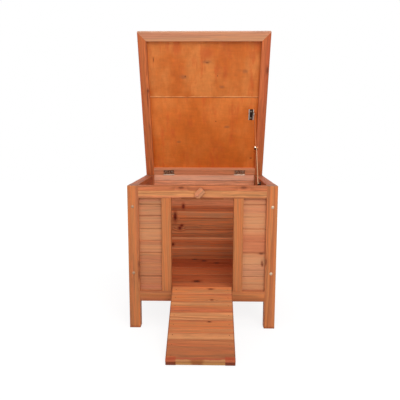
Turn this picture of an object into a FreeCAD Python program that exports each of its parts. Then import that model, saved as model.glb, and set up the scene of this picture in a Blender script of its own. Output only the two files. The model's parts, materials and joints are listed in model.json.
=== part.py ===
import FreeCAD
import Part
import math
import os

Vec = FreeCAD.Vector

# Box over its four posts. Front faces -Y, the feet stand on z = 0.
BOX_W = 420.0
BOX_D = 430.0
BOX_H = 414.0

# Sawn stock: square posts, thinner frame sticks, arris taken off long edges
POST = 31.0
FRAME_T = 28.0
ARRIS = 1.0
PARALLEL = 1e-6

# Rails, stiles and the doorway between the two front stiles
FRONT_RAIL_H = 34.5
SIDE_RAIL_H = 30.0
REAR_RAIL_H = 26.0
LOW_RAIL_H = 30.5
LOW_RAIL_Z = 80.5
STILE_W = 27.0
DOORWAY_W = 176.0

# Tongued and grooved wall boards, held in grooves of the frame sticks
BOARD_T = 10.0
BOARD_PITCH = 69.5
BOARD_SETBACK = 11.0
GROOVE_D = 8.0
END_PLAY = 1.0
TONGUE_T = 3.0
TONGUE_L = 4.0
TONGUE_PLAY = 0.5
VEE = 2.0
BEAD_W = 3.0
BEAD_D = 1.2
MIN_STRIP = 20.0
FRONT_SEAM_RISE = 41.0
REAR_SEAM_RISE = 78.0

# Floor boards on two bearers along the side bottom rails
FLOOR_T = 12.0
FLOOR_PITCH = 89.0
FLOOR_SEAM = 59.0
FLOOR_PLAY = 0.5
BEARER_W = 20.0
BEARER_H = 15.0

# Lid: rails mitred in front and butted behind, two plywood sheets let into their upper edge
LID_L = 490.0
LID_TAIL = 6.0
LID_T = 20.0
LID_RAIL_W = 28.0
LID_REAR_RAIL_W = 20.0
LID_GAP = 0.4
LID_OPEN_ANGLE = 68.0
PLY_REAR_T = 6.0
PLY_FRONT_T = 5.0
PLY_LAP = 12.0
PLY_SEAM = 279.0
PLY_PLAY = 0.6

# Butt hinges, the same pattern on the lid and on the ramp
HINGE_L = 38.0
LEAF_W = 16.0
LEAF_T = 1.2
BARREL_R = 2.3
BARREL_OFF = 2.6
BARREL_CLEAR = 0.4
KNUCKLES = 5
KNUCKLE_PLAY = 0.2
PIN_R = 1.0
PIN_FIT = 0.05
PIN_HEAD_R = 1.8
PIN_HEAD_H = 0.8
LID_HINGE_INSET = 82.0
RAMP_HINGE_INSET = 29.0
HINGE_SCREW_X = 11.0
HINGE_SCREW_REACH = 10.0

# Ramp that closes the doorway as a door, boards on battens, with play all round
RAMP_SIDE_GAP = 3.0
RAMP_HIGH_GAP = 2.0
RAMP_BOARD_T = 8.0
RAMP_BATTEN_T = 9.0
SIDE_BATTEN_W = 25.0
CROSS_BATTEN_W = 24.0
RAMP_SEAM = 61.0
RAMP_LOW_GAP = 1.0
RAMP_TIP_GAP = 0.3
STOP_W = 120.0
STOP_T = 12.0
STOP_H = 6.0
STOP_GAP = 0.4

# Folding stay on the right wall, both arms equal and straight when the lid is up
STAY_REACH = 225.0
STAY_DROP = 12.0
STAY_RISE = 3.0
STAY_STANDOFF = 6.0
ARM_W = 10.0
ARM_T = 2.0
ARM_GAP = 0.4
PLATE_T = 2.0
RIVET_R = 2.5
RIVET_FIT = 0.05
RIVET_PLAY = 0.1
RIVET_HEAD_R = 4.0
RIVET_HEAD_H = 0.9
HEAD_PLAY = 0.3
COLLAR_R = 4.5
ELBOW_R = 7.0
ELBOW_H = 4.0
TAB_R = 6.0
LOW_PLATE_L = 20.0
LOW_PLATE_UP = 7.0
LOW_PLATE_DOWN = 15.0
LOW_SCREW_Y = 6.0
LOW_SCREW_Z = 10.0
TOP_PLATE_FRONT = 13.0
TOP_PLATE_REAR = 24.0
TOP_PLATE_W = 18.0
TOP_SCREW_X = 10.0
TOP_SCREW_INSET = 7.0

# Turn button on the front top rail, pivoted near its lower end
BUTTON_X = -14.0
BUTTON_DROP = 26.0
BUTTON_W = 20.0
BUTTON_UP = 23.0
BUTTON_DOWN = 7.0
BUTTON_LOW_CUT = 6.0
BUTTON_TOP_CUT = 3.0
BUTTON_T = 10.0
BUTTON_TILT = 45.0
BUTTON_SCREW_R = 2.2
BUTTON_SCREW_L = 16.0
BUTTON_FIT = 0.05
BUTTON_PLAY = 0.1
BUTTON_HEAD_R = 4.2
BUTTON_HEAD_H = 2.2
WASHER_R = 6.0
WASHER_T = 0.5

# Frame bolts through the posts into the side stiles, and the small screws
BOLT_R = 3.0
BOLT_L = 48.0
BOLT_HEAD_R = 4.4
BOLT_HEAD_H = 2.0
BOLT_DROP = 59.0
BOLT_RISE = 83.5
SCREW_R = 1.4
SCREW_HEAD_R = 2.6
SCREW_L = 9.0
PLY_SCREW_L = 6.0

# Heights and faces that follow from the sizes above; the haunch clears the groove
HAUNCH = GROOVE_D
HALF_W = BOX_W / 2
HALF_D = BOX_D / 2
LOW_TOP = LOW_RAIL_Z + LOW_RAIL_H
DOOR_TOP = BOX_H - FRONT_RAIL_H
POST_IN_X = HALF_W - POST
POST_IN_Y = HALF_D - POST
WALL_IN_X = HALF_W - FRAME_T
REAR_RIM_T = BOARD_SETBACK + BOARD_T
DOOR_X = DOORWAY_W / 2
STILE_X = DOOR_X + STILE_W
LID_Z = BOX_H + LID_GAP
LID_TOP = LID_Z + LID_T
LID_FRONT_Y = HALF_D - LID_L
LID_AXIS = Vec(0, HALF_D + BARREL_OFF, BOX_H + LID_GAP / 2)
LID_REAR_Y = HALF_D + LID_TAIL
RAMP_W = DOORWAY_W - 2 * RAMP_SIDE_GAP
RAMP_T = RAMP_BOARD_T + RAMP_BATTEN_T
BATTEN_FACE = -HALF_D + RAMP_BATTEN_T
RAMP_Z = LOW_TOP + RAMP_LOW_GAP
RAMP_TOP = DOOR_TOP - RAMP_HIGH_GAP
RAMP_AXIS = Vec(0, -HALF_D - BARREL_OFF, LOW_TOP + RAMP_LOW_GAP / 2)
STAY_Y = HALF_D - STAY_REACH
LID_HINGE_X = HALF_W - LID_HINGE_INSET
RAMP_HINGE_X = RAMP_W / 2 - RAMP_HINGE_INSET
BUTTON_Z = BOX_H - BUTTON_DROP
BOLT_HIGH_Z = BOX_H - BOLT_DROP
BOLT_LOW_Z = LOW_RAIL_Z + BOLT_RISE
FRONT_SEAM_Z = LOW_TOP + FRONT_SEAM_RISE
REAR_SEAM_Z = LOW_TOP + REAR_SEAM_RISE
FLOOR_SEAM_Y = FLOOR_SEAM - POST_IN_Y

X_AXIS = Vec(1, 0, 0)
Y_AXIS = Vec(0, 1, 0)
Z_AXIS = Vec(0, 0, 1)

pieces = {}


def block(x, y, z):
    """Plain block between the pairs of limits x, y and z."""
    low = Vec(min(x), min(y), min(z))
    return Part.makeBox(abs(x[1] - x[0]), abs(y[1] - y[0]), abs(z[1] - z[0]), low)


def along(edge, axis):
    """True for a straight edge parallel to the axis."""
    run = edge.Vertexes[-1].Point - edge.Vertexes[0].Point
    return run.Length > 0 and run.cross(axis).Length < PARALLEL * run.Length


def ease(shape, axis):
    """Take the arris off the edges that run along the axis."""
    return shape.makeChamfer(ARRIS, [e for e in shape.Edges if along(e, axis)])


def stick(x, y, z, axis):
    return ease(block(x, y, z), axis)


def disc(radius, start, way, length):
    return Part.makeCylinder(radius, length, start, way)


def screw(head, way, length):
    """Countersunk screw: its head lies flush in a leaf, its shank in the wood."""
    sink = LEAF_T
    cone = Part.makeCone(SCREW_HEAD_R, SCREW_R, sink, head, way)
    return cone.fuse(disc(SCREW_R, head, way, length)).removeSplitter()


def turned(shape, axis_point, degrees):
    """Copy of the shape turned about the left-right line through axis_point."""
    copy = shape.copy()
    copy.rotate(axis_point, X_AXIS, degrees)
    return copy


def front_back(side):
    """Depth limits of the board groove in the front (-1) or rear (+1) frame."""
    outer = side * (HALF_D - BOARD_SETBACK)
    return outer, outer - side * BOARD_T


def left_right(side):
    """Width limits of the board groove in the left (-1) or right (+1) frame."""
    outer = side * (HALF_W - BOARD_SETBACK)
    return outer, outer - side * BOARD_T


def board(low, high, thick, tongue, plain_low, plain_high, place, run):
    """One board: groove below, tongue above, vee edges and a bead on its show face."""
    inner = (thick - tongue) / 2
    outer = (thick + tongue) / 2
    middle = (low + high) / 2
    half_bead = BEAD_W / 2
    outline = [(0, low + VEE)]
    if high - low > BOARD_PITCH / 2:
        outline += [(0, middle - half_bead), (BEAD_D, middle), (0, middle + half_bead)]
    outline += [(0, high - VEE), (VEE, high)]
    if not plain_high:
        tip = high + TONGUE_L
        outline += [(inner, high), (inner, tip), (outer, tip), (outer, high)]
    outline += [(thick - VEE, high), (thick, high - VEE), (thick, low + VEE), (thick - VEE, low)]
    if not plain_low:
        root = low + TONGUE_L + TONGUE_PLAY
        outline += [(outer, low), (outer, root), (inner, root), (inner, low)]
    outline += [(VEE, low)]
    corners = [place(t, s) for t, s in outline]
    return Part.Face(Part.makePolygon(corners + corners[:1])).extrude(run)


def seam_lines(low, high, seam, pitch):
    """Board edges from low to high with seams at the pitch through seam."""
    while seam - pitch > low + MIN_STRIP:
        seam -= pitch
    lines = [low]
    while seam < high - MIN_STRIP:
        if seam > low + MIN_STRIP:
            lines.append(seam)
        seam += pitch
    return lines + [high]


def boards(low, high, seam, pitch, thick, tongue, place, run):
    """Solids of a whole panel, from its lowest board to its highest."""
    lines = seam_lines(low, high, seam, pitch)
    last = len(lines) - 2
    made = []
    for n in range(len(lines) - 1):
        plain_low = n == 0
        plain_high = n == last
        made.append(board(lines[n], lines[n + 1], thick, tongue, plain_low, plain_high, place, run))
    return made


def bolt_lines():
    """Bolt places with the way each bolt runs, front ones first."""
    found = []
    for side in (-1, 1):
        for x in (-HALF_W + FRAME_T / 2, HALF_W - FRAME_T / 2):
            for z in (BOLT_HIGH_Z, BOLT_LOW_Z):
                found.append((Vec(x, side * HALF_D, z), Vec(0, -side, 0)))
    return found


def frame_bolt(face, way):
    shank = disc(BOLT_R, face, way, BOLT_L)
    head = disc(BOLT_HEAD_R, face, way * -1, BOLT_HEAD_H)
    rim = [e for e in head.Edges if abs(e.Vertexes[0].Point.y) > HALF_D + BOLT_HEAD_H / 2]
    rim = [e for e in rim if isinstance(e.Curve, Part.Circle)]
    return head.makeFillet(BOLT_HEAD_H / 2, rim).fuse(shank).removeSplitter()


def post(side_x, side_y, bolts):
    """Corner post: grooved for its front or rear boards, drilled for two bolts."""
    x = (side_x * HALF_W, side_x * POST_IN_X)
    y = (side_y * HALF_D, side_y * POST_IN_Y)
    body = stick(x, y, (0, BOX_H), Z_AXIS)
    groove_x = (side_x * POST_IN_X, side_x * (POST_IN_X + GROOVE_D))
    groove_z = (LOW_RAIL_Z + HAUNCH, BOX_H - HAUNCH)
    body = body.cut(block(groove_x, front_back(side_y), groove_z))
    return body.cut(bolts)


def cross_rail(side_y, z, groove_up, spans, depth):
    """Front or rear rail between the posts, with stub tenons, grooved or rebated over the spans."""
    y = (side_y * HALF_D, side_y * (HALF_D - depth))
    groove_y = front_back(side_y)
    body = stick((-POST_IN_X, POST_IN_X), y, z, X_AXIS)
    tenon_z = (z[0] + HAUNCH, z[1] - HAUNCH)
    reach = GROOVE_D - END_PLAY
    for side in (-1, 1):
        tenon_x = (side * POST_IN_X, side * (POST_IN_X + reach))
        body = body.fuse(block(tenon_x, groove_y, tenon_z))
    for span in spans:
        groove_z = (z[1] - GROOVE_D, z[1]) if groove_up else (z[0], z[0] + GROOVE_D)
        body = body.cut(block(span, groove_y, groove_z))
    return body.removeSplitter()


def front_stile(side):
    """Stile beside the doorway: tenons into both rails, groove for the panel boards."""
    x = (side * DOOR_X, side * STILE_X)
    y = (-HALF_D, -HALF_D + FRAME_T)
    groove_y = front_back(-1)
    body = stick(x, y, (LOW_TOP, DOOR_TOP), Z_AXIS)
    tenon_x = (side * (DOOR_X + HAUNCH), side * STILE_X)
    reach = GROOVE_D - END_PLAY
    tenon = block(tenon_x, groove_y, (LOW_TOP - reach, DOOR_TOP + reach))
    groove_x = (side * (STILE_X - GROOVE_D), side * STILE_X)
    groove = block(groove_x, groove_y, (LOW_TOP - GROOVE_D, DOOR_TOP + GROOVE_D))
    return body.fuse(tenon).cut(groove).removeSplitter()


def side_stile(side_x, side_y, bolts):
    """Stile of a side frame, standing against its post and bolted to it."""
    x = (side_x * HALF_W, side_x * WALL_IN_X)
    inner = POST_IN_Y - STILE_W
    y = (side_y * POST_IN_Y, side_y * inner)
    body = stick(x, y, (LOW_RAIL_Z, BOX_H), Z_AXIS)
    groove_y = (side_y * inner, side_y * (inner + GROOVE_D))
    groove_z = (LOW_RAIL_Z + HAUNCH, BOX_H - HAUNCH)
    return body.cut(block(left_right(side_x), groove_y, groove_z)).cut(bolts)


def side_rail(side_x, z, groove_up):
    """Top or bottom rail of a side frame, with stub tenons and a board groove."""
    inner = POST_IN_Y - STILE_W
    reach = GROOVE_D - END_PLAY
    groove_x = left_right(side_x)
    body = stick((side_x * HALF_W, side_x * WALL_IN_X), (-inner, inner), z, Y_AXIS)
    tenon = block(groove_x, (-inner - reach, inner + reach), (z[0] + HAUNCH, z[1] - HAUNCH))
    groove_z = (z[1] - GROOVE_D, z[1]) if groove_up else (z[0], z[0] + GROOVE_D)
    return body.fuse(tenon).cut(block(groove_x, (-inner, inner), groove_z)).removeSplitter()


def front_boards(side):
    reach = GROOVE_D - END_PLAY
    start = side * (STILE_X - reach)
    run = Vec(side * (POST_IN_X + reach) - start, 0, 0)
    face = -HALF_D + BOARD_SETBACK
    place = lambda t, s: Vec(start, face + t, s)
    high = DOOR_TOP + reach
    return boards(LOW_TOP - GROOVE_D, high, FRONT_SEAM_Z, BOARD_PITCH, BOARD_T, TONGUE_T, place, run)


def rear_boards():
    """The bead shows on the inner face of the rear wall."""
    reach = GROOVE_D - END_PLAY
    start = -POST_IN_X - reach
    face = HALF_D - BOARD_SETBACK - BOARD_T
    place = lambda t, s: Vec(start, face + t, s)
    high = BOX_H - REAR_RAIL_H + reach
    run = Vec(-2 * start, 0, 0)
    return boards(LOW_TOP - GROOVE_D, high, REAR_SEAM_Z, BOARD_PITCH, BOARD_T, TONGUE_T, place, run)


def side_boards(side):
    reach = GROOVE_D - END_PLAY
    start = -(POST_IN_Y - STILE_W + reach)
    face = side * (HALF_W - BOARD_SETBACK)
    place = lambda t, s: Vec(face - side * t, start, s)
    high = BOX_H - SIDE_RAIL_H + reach
    run = Vec(0, -2 * start, 0)
    return boards(LOW_TOP - GROOVE_D, high, FRONT_SEAM_Z, BOARD_PITCH, BOARD_T, TONGUE_T, place, run)


def floor_boards():
    half_x = POST_IN_X - FLOOR_PLAY
    half_y = POST_IN_Y - FLOOR_PLAY
    place = lambda t, s: Vec(-half_x, s, LOW_TOP - t)
    run = Vec(2 * half_x, 0, 0)
    return boards(-half_y, half_y, FLOOR_SEAM_Y, FLOOR_PITCH, FLOOR_T, TONGUE_T, place, run)


def floor_bearers():
    """Battens on the side bottom rails, their tops under the floor boards."""
    top = LOW_TOP - FLOOR_T
    made = []
    for side in (-1, 1):
        x = (side * WALL_IN_X, side * (WALL_IN_X - BEARER_W))
        made.append(block(x, (-POST_IN_Y, POST_IN_Y), (top - BEARER_H, top)))
    return made


def knuckle_spans(centre):
    """Limits of the barrel's knuckles along the pin, with play between them."""
    pitch = HINGE_L / KNUCKLES
    start = centre - HINGE_L / 2
    spans = []
    for n in range(KNUCKLES):
        low = start + n * pitch + (KNUCKLE_PLAY / 2 if n else 0)
        high = start + (n + 1) * pitch - (KNUCKLE_PLAY / 2 if n < KNUCKLES - 1 else 0)
        spans.append((low, high))
    return spans


def hinge_leaf(plate, tab, axis, spans):
    """Leaf: plate, a tab at each of its knuckles, the knuckles, bored for the pin."""
    body = plate
    for low, high in spans:
        body = body.fuse(block((low, high), tab[0], tab[1]))
        body = body.fuse(disc(BARREL_R, Vec(low, axis.y, axis.z), X_AXIS, high - low))
    for low, high in spans:
        bore = disc(PIN_R + PIN_FIT, Vec(low, axis.y, axis.z), X_AXIS, high - low)
        body = body.cut(bore)
    return body.removeSplitter()


def hinge_pin(centre, axis):
    """Pin with a head at either end, its heads on the outer knuckles."""
    start = centre - HINGE_L / 2
    body = disc(PIN_R, Vec(start, axis.y, axis.z), X_AXIS, HINGE_L)
    body = body.fuse(disc(PIN_HEAD_R, Vec(start - PIN_HEAD_H, axis.y, axis.z), X_AXIS, PIN_HEAD_H))
    body = body.fuse(disc(PIN_HEAD_R, Vec(start + HINGE_L, axis.y, axis.z), X_AXIS, PIN_HEAD_H))
    return body.removeSplitter()


def lid_leaf(centre, moving):
    """Lid hinge leaf with its screws; the lid is down here."""
    face = LID_Z if moving else BOX_H
    way = Z_AXIS if moving else Z_AXIS * -1
    z = (face, face + way.z * LEAF_T)
    x = (centre - HINGE_L / 2, centre + HINGE_L / 2)
    plate = block(x, (HALF_D - LEAF_W, HALF_D), z)
    spans = knuckle_spans(centre)[1 if moving else 0::2]
    tab = ((HALF_D, LID_AXIS.y), z)
    leaf = hinge_leaf(plate, tab, LID_AXIS, spans)
    screws = []
    for dx in (-HINGE_SCREW_X, HINGE_SCREW_X):
        screws.append(screw(Vec(centre + dx, HALF_D - HINGE_SCREW_REACH, face), way, SCREW_L))
    return plate, leaf.cut(Part.makeCompound(screws)), screws


def ramp_leaf(centre, moving):
    """Ramp hinge leaf with its screws; the ramp is shut here."""
    edge = RAMP_Z if moving else LOW_TOP
    up = 1 if moving else -1
    x = (centre - HINGE_L / 2, centre + HINGE_L / 2)
    y = (-HALF_D - LEAF_T, -HALF_D)
    plate = block(x, y, (edge, edge + up * LEAF_W))
    spans = knuckle_spans(centre)[1 if moving else 0::2]
    notch_z = (RAMP_AXIS.z, RAMP_AXIS.z + up * (BARREL_R + BARREL_CLEAR))
    for low, high in knuckle_spans(centre)[0 if moving else 1::2]:
        notch_x = (low - KNUCKLE_PLAY, high + KNUCKLE_PLAY)
        plate = plate.cut(block(notch_x, y, notch_z))
    tab = (y, notch_z)
    leaf = hinge_leaf(plate, tab, RAMP_AXIS, spans)
    screws = []
    for dx in (-HINGE_SCREW_X, HINGE_SCREW_X):
        head = Vec(centre + dx, -HALF_D - LEAF_T, edge + up * HINGE_SCREW_REACH)
        screws.append(screw(head, Y_AXIS, SCREW_L))
    return leaf.cut(Part.makeCompound(screws)), screws


def lid_sheet(rear):
    """Plywood sheet let in flush with the lid's top; the front sheet is thinner."""
    rim = LID_RAIL_W - PLY_LAP
    rear_rim = LID_REAR_RAIL_W - PLY_LAP
    thick = PLY_REAR_T if rear else PLY_FRONT_T
    seam = HALF_D - PLY_SEAM
    y = (seam, HALF_D - rear_rim) if rear else (LID_FRONT_Y + rim, seam - PLY_PLAY)
    return block((-HALF_W + rim, HALF_W - rim), y, (LID_TOP - thick, LID_TOP))


def lid_rail(corners, axis, rebate):
    """Lid rail from its plan corners, rebated for the two sheets."""
    flat = [Vec(x, y, LID_Z) for x, y in corners]
    body = Part.Face(Part.makePolygon(flat + flat[:1])).extrude(Vec(0, 0, LID_T))
    return ease(body, axis).cut(rebate).removeSplitter()


def barrel_notch(centre):
    """Room in the lid's tail for the hinge barrel and the heads of its pin."""
    half = HINGE_L / 2 + PIN_HEAD_H + BARREL_CLEAR
    x = (centre - half, centre + half)
    return block(x, (HALF_D, LID_REAR_Y), (LID_Z, LID_AXIS.z + BARREL_R + BARREL_CLEAR))


def lid_rails(rebate):
    """The four lid rails by name: the side rails run through behind and are mitred in front."""
    inner = HALF_W - LID_RAIL_W
    front = (LID_FRONT_Y, LID_FRONT_Y + LID_RAIL_W)
    rear = (LID_REAR_Y, HALF_D - LID_REAR_RAIL_W)
    out = {}
    for name, side in (("left", -1), ("right", 1)):
        a = side * HALF_W
        b = side * inner
        corners = [(a, front[0]), (a, LID_REAR_Y), (b, LID_REAR_Y), (b, front[1])]
        out["lid_rail_" + name] = lid_rail(corners, Y_AXIS, rebate)
    for name, half, y in (("front", HALF_W, front), ("rear", inner, rear)):
        corners = [(-half, y[0]), (half, y[0]), (inner, y[1]), (-inner, y[1])]
        out["lid_rail_" + name] = lid_rail(corners, X_AXIS, rebate)
    return out


def ramp_swing():
    """Angle from shut to lowered, with the tip's lower edge just off the ground."""
    arm = RAMP_TOP - RAMP_AXIS.z
    reach = math.hypot(BARREL_OFF, arm)
    lean = math.degrees(math.atan2(BARREL_OFF, arm))
    return lean + math.degrees(math.acos(-(RAMP_AXIS.z - RAMP_TIP_GAP) / reach))


def side_batten(side):
    """Batten along one side of the ramp, under the ends of its boards."""
    x = (side * RAMP_W / 2, side * (RAMP_W / 2 - SIDE_BATTEN_W))
    return stick(x, (-HALF_D, BATTEN_FACE), (RAMP_Z, RAMP_TOP), Z_AXIS)


def cross_batten(z):
    """Batten across the ramp between the side battens."""
    half = RAMP_W / 2 - SIDE_BATTEN_W
    return stick((-half, half), (-HALF_D, BATTEN_FACE), z, X_AXIS)


def ramp_boards():
    """Boards across the ramp at its full width; the bead is on the walking face."""
    half = RAMP_W / 2
    face = -HALF_D + RAMP_T
    place = lambda t, s: Vec(-half, face - t, s)
    seam = RAMP_Z + RAMP_SEAM
    run = Vec(RAMP_W, 0, 0)
    return boards(RAMP_Z, RAMP_TOP, seam, BOARD_PITCH, RAMP_BOARD_T, TONGUE_T, place, run)


def stay_rivet(start, head_x):
    """Pivot rivet along X: shank from start to its flush head at head_x."""
    way = 1 if head_x > start.x else -1
    body = disc(RIVET_R, start, X_AXIS * way, abs(head_x - start.x))
    head = Vec(head_x, start.y, start.z)
    return body.fuse(disc(RIVET_HEAD_R, head, X_AXIS * -way, RIVET_HEAD_H))


def stay_arm(x, pivot, angle, sink_low):
    """Flat arm from its pivot, rounded at both ends, with a sunk pivot hole and an elbow hole."""
    half = ARM_W / 2
    low, high = min(x), max(x)
    body = block((low, high), (0, STAY_ARM_L), (-half, half))
    for y in (0, STAY_ARM_L):
        body = body.fuse(disc(half, Vec(low, y, 0), X_AXIS, ARM_T))
    body = body.removeSplitter()
    body = body.cut(disc(RIVET_R + RIVET_FIT, Vec(low, 0, 0), X_AXIS, ARM_T))
    depth = RIVET_HEAD_H + RIVET_PLAY
    sink = low if sink_low else high - depth
    body = body.cut(disc(RIVET_HEAD_R + HEAD_PLAY, Vec(sink, 0, 0), X_AXIS, depth))
    body = body.cut(disc(RIVET_R, Vec(low, STAY_ARM_L, 0), X_AXIS, ARM_T))
    body.rotate(Vec(0, 0, 0), X_AXIS, angle)
    body.translate(Vec(0, pivot.y, pivot.z))
    return body


def elbow_half(arm_face, back_face, at):
    """Half of the elbow rivet: domed head on the arm's outer face, shank flush with its inner face."""
    way = 1 if arm_face > back_face else -1
    head = disc(ELBOW_R, Vec(arm_face, at.y, at.z), X_AXIS * way, ELBOW_H)
    rim = [e for e in head.Edges if isinstance(e.Curve, Part.Circle)]
    rim = [e for e in rim if abs(e.Curve.Center.x - arm_face) > ELBOW_H / 2]
    head = head.makeFillet(ELBOW_H / 2, rim)
    shank = disc(RIVET_R, Vec(back_face, at.y, at.z), X_AXIS * way, abs(arm_face - back_face))
    return head.fuse(shank).removeSplitter()


def button_outline():
    """Button corners about its pivot, upright, all four corners cut back."""
    half = BUTTON_W / 2
    cut = BUTTON_LOW_CUT
    top_cut = BUTTON_TOP_CUT
    low = -BUTTON_DOWN
    right = [(half - cut, low), (half, low + cut)]
    right += [(half, BUTTON_UP - top_cut), (half - top_cut, BUTTON_UP)]
    return right + [(-x, z) for x, z in reversed(right)]


def turn_button():
    face = -HALF_D - WASHER_T - BUTTON_PLAY
    corners = [Vec(BUTTON_X + x, face, BUTTON_Z + z) for x, z in button_outline()]
    body = Part.Face(Part.makePolygon(corners + corners[:1])).extrude(Vec(0, -BUTTON_T, 0))
    front = [e for e in body.Edges if all(v.Point.y < face - BUTTON_T / 2 for v in e.Vertexes)]
    body = body.makeChamfer(ARRIS, front)
    pivot = Vec(BUTTON_X, face, BUTTON_Z)
    body = body.cut(disc(BUTTON_SCREW_R + BUTTON_FIT, pivot, Y_AXIS * -1, BUTTON_T))
    body.rotate(pivot, Y_AXIS, BUTTON_TILT)
    return body


def button_screw():
    """Round head screw in the rail, with a washer behind the button."""
    head_y = -HALF_D - WASHER_T - BUTTON_T - 2 * BUTTON_PLAY
    at = Vec(BUTTON_X, head_y, BUTTON_Z)
    head = disc(BUTTON_HEAD_R, at, Y_AXIS * -1, BUTTON_HEAD_H)
    rim = [e for e in head.Edges if isinstance(e.Curve, Part.Circle)]
    rim = [e for e in rim if e.Curve.Center.y < head_y - BUTTON_HEAD_H / 2]
    head = head.makeFillet(BUTTON_HEAD_H / 2, rim)
    shank = disc(BUTTON_SCREW_R, at, Y_AXIS, -HALF_D + BUTTON_SCREW_L - head_y)
    return head.fuse(shank).removeSplitter()


def button_washer(screw_body):
    seat = Vec(BUTTON_X, -HALF_D, BUTTON_Z)
    return disc(WASHER_R, seat, Y_AXIS * -1, WASHER_T).cut(screw_body)


# Posts, rails, stiles and boards
bolts = [frame_bolt(face, way) for face, way in bolt_lines()]
all_bolts = Part.makeCompound(bolts)
pieces["frame_bolts"] = all_bolts
for name_y, side_y in (("front", -1), ("rear", 1)):
    for name_x, side_x in (("left", -1), ("right", 1)):
        pieces["post_%s_%s" % (name_y, name_x)] = post(side_x, side_y, all_bolts)
        stile_name = "side_stile_%s_%s" % (name_x, name_y)
        pieces[stile_name] = side_stile(side_x, side_y, all_bolts)

panel_spans = [(-POST_IN_X, -DOOR_X - HAUNCH), (DOOR_X + HAUNCH, POST_IN_X)]
rear_span = [(-POST_IN_X, POST_IN_X)]
low_z = (LOW_RAIL_Z, LOW_TOP)
button_pin = button_screw()
front_top = cross_rail(-1, (DOOR_TOP, BOX_H), False, panel_spans, FRAME_T)
pieces["front_top_rail"] = front_top.cut(button_pin)
front_low = cross_rail(-1, low_z, True, panel_spans, FRAME_T)
rear_top = cross_rail(1, (BOX_H - REAR_RAIL_H, BOX_H), False, rear_span, REAR_RIM_T)
pieces["rear_bottom_rail"] = cross_rail(1, low_z, True, rear_span, FRAME_T)
for name, side in (("left", -1), ("right", 1)):
    pieces["front_stile_" + name] = front_stile(side)
    pieces["front_boards_" + name] = Part.makeCompound(front_boards(side))
    pieces["side_boards_" + name] = Part.makeCompound(side_boards(side))
    pieces["side_bottom_rail_" + name] = side_rail(side, low_z, True)
    pieces["side_top_rail_" + name] = side_rail(side, (BOX_H - SIDE_RAIL_H, BOX_H), False)
pieces["rear_boards"] = Part.makeCompound(rear_boards())
pieces["floor_boards"] = Part.makeCompound(floor_boards())
pieces["floor_bearers"] = Part.makeCompound(floor_bearers())
stop_y = -HALF_D + RAMP_T + STOP_GAP
stop_limits = (stop_y, stop_y + STOP_T)
pieces["door_stop"] = block((-STOP_W / 2, STOP_W / 2), stop_limits, (DOOR_TOP - STOP_H, DOOR_TOP))

# Lid, built down and then raised
sheets = [lid_sheet(True), lid_sheet(False)]
lid_parts = lid_rails(Part.makeCompound(sheets))
lid_parts["lid_panel_rear"] = sheets[0]
lid_parts["lid_panel_front"] = sheets[1]

# Lid hinges let into the rear rail and the lid's rear rail
house_screws = []
lid_screws = []
ramp_screws = []
pins = []
for name, side in (("left", -1), ("right", 1)):
    centre = side * LID_HINGE_X
    plate, leaf, screws = lid_leaf(centre, False)
    rear_top = rear_top.cut(plate).cut(Part.makeCompound(screws))
    pieces["lid_hinge_leaf_fixed_" + name] = leaf
    house_screws += screws
    plate, leaf, screws = lid_leaf(centre, True)
    room = Part.makeCompound(screws + [barrel_notch(centre)])
    lid_parts["lid_rail_rear"] = lid_parts["lid_rail_rear"].cut(plate).cut(room)
    lid_parts["lid_hinge_leaf_moving_" + name] = leaf
    lid_screws += screws
    pins.append(hinge_pin(centre, LID_AXIS))
pieces["rear_top_rail"] = rear_top
pieces["lid_hinge_pins"] = Part.makeCompound(pins)

# Ramp, built shut and then lowered
ramp_parts = {}
ramp_solids = ramp_boards()
side_solids = [side_batten(-1), side_batten(1)]
cross_solids = [cross_batten((RAMP_Z, RAMP_Z + CROSS_BATTEN_W))]
cross_solids.append(cross_batten((RAMP_TOP - CROSS_BATTEN_W, RAMP_TOP)))
pins = []
for name, side in (("left", -1), ("right", 1)):
    centre = side * RAMP_HINGE_X
    leaf, screws = ramp_leaf(centre, False)
    front_low = front_low.cut(Part.makeCompound(screws))
    pieces["ramp_hinge_leaf_fixed_" + name] = leaf
    house_screws += screws
    leaf, screws = ramp_leaf(centre, True)
    holes = Part.makeCompound(screws)
    ramp_parts["ramp_hinge_leaf_moving_" + name] = leaf
    ramp_solids = [solid.cut(holes) for solid in ramp_solids]
    side_solids = [solid.cut(holes) for solid in side_solids]
    cross_solids = [solid.cut(holes) for solid in cross_solids]
    ramp_screws += screws
    pins.append(hinge_pin(centre, RAMP_AXIS))
pieces["front_bottom_rail"] = front_low
pieces["ramp_hinge_pins"] = Part.makeCompound(pins)
ramp_parts["ramp_boards"] = Part.makeCompound(ramp_solids)
ramp_parts["ramp_side_battens"] = Part.makeCompound(side_solids)
ramp_parts["ramp_cross_battens"] = Part.makeCompound(cross_solids)
ramp_parts["ramp_screws"] = Part.makeCompound(ramp_screws)

# Stay: layers from the right wall inwards, pivots with the lid down and up
PLATE_IN_X = WALL_IN_X - PLATE_T
LOW_ARM_OUT = PLATE_IN_X - STAY_STANDOFF
LOW_ARM_IN = LOW_ARM_OUT - ARM_T
UP_ARM_OUT = LOW_ARM_IN - ARM_GAP
UP_ARM_IN = UP_ARM_OUT - ARM_T
TAB_OUT = UP_ARM_IN - RIVET_PLAY
TAB_IN = TAB_OUT - PLATE_T
low_pivot = Vec(0, STAY_Y, BOX_H - STAY_DROP)
up_pivot_shut = Vec(0, STAY_Y, LID_Z + STAY_RISE)
up_pivot = turned(Part.Vertex(up_pivot_shut), LID_AXIS, -LID_OPEN_ANGLE).Point
span = up_pivot - low_pivot
STAY_ARM_L = span.Length / 2
stay_angle = math.degrees(math.atan2(span.z, span.y))
elbow = low_pivot + span / 2

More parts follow.
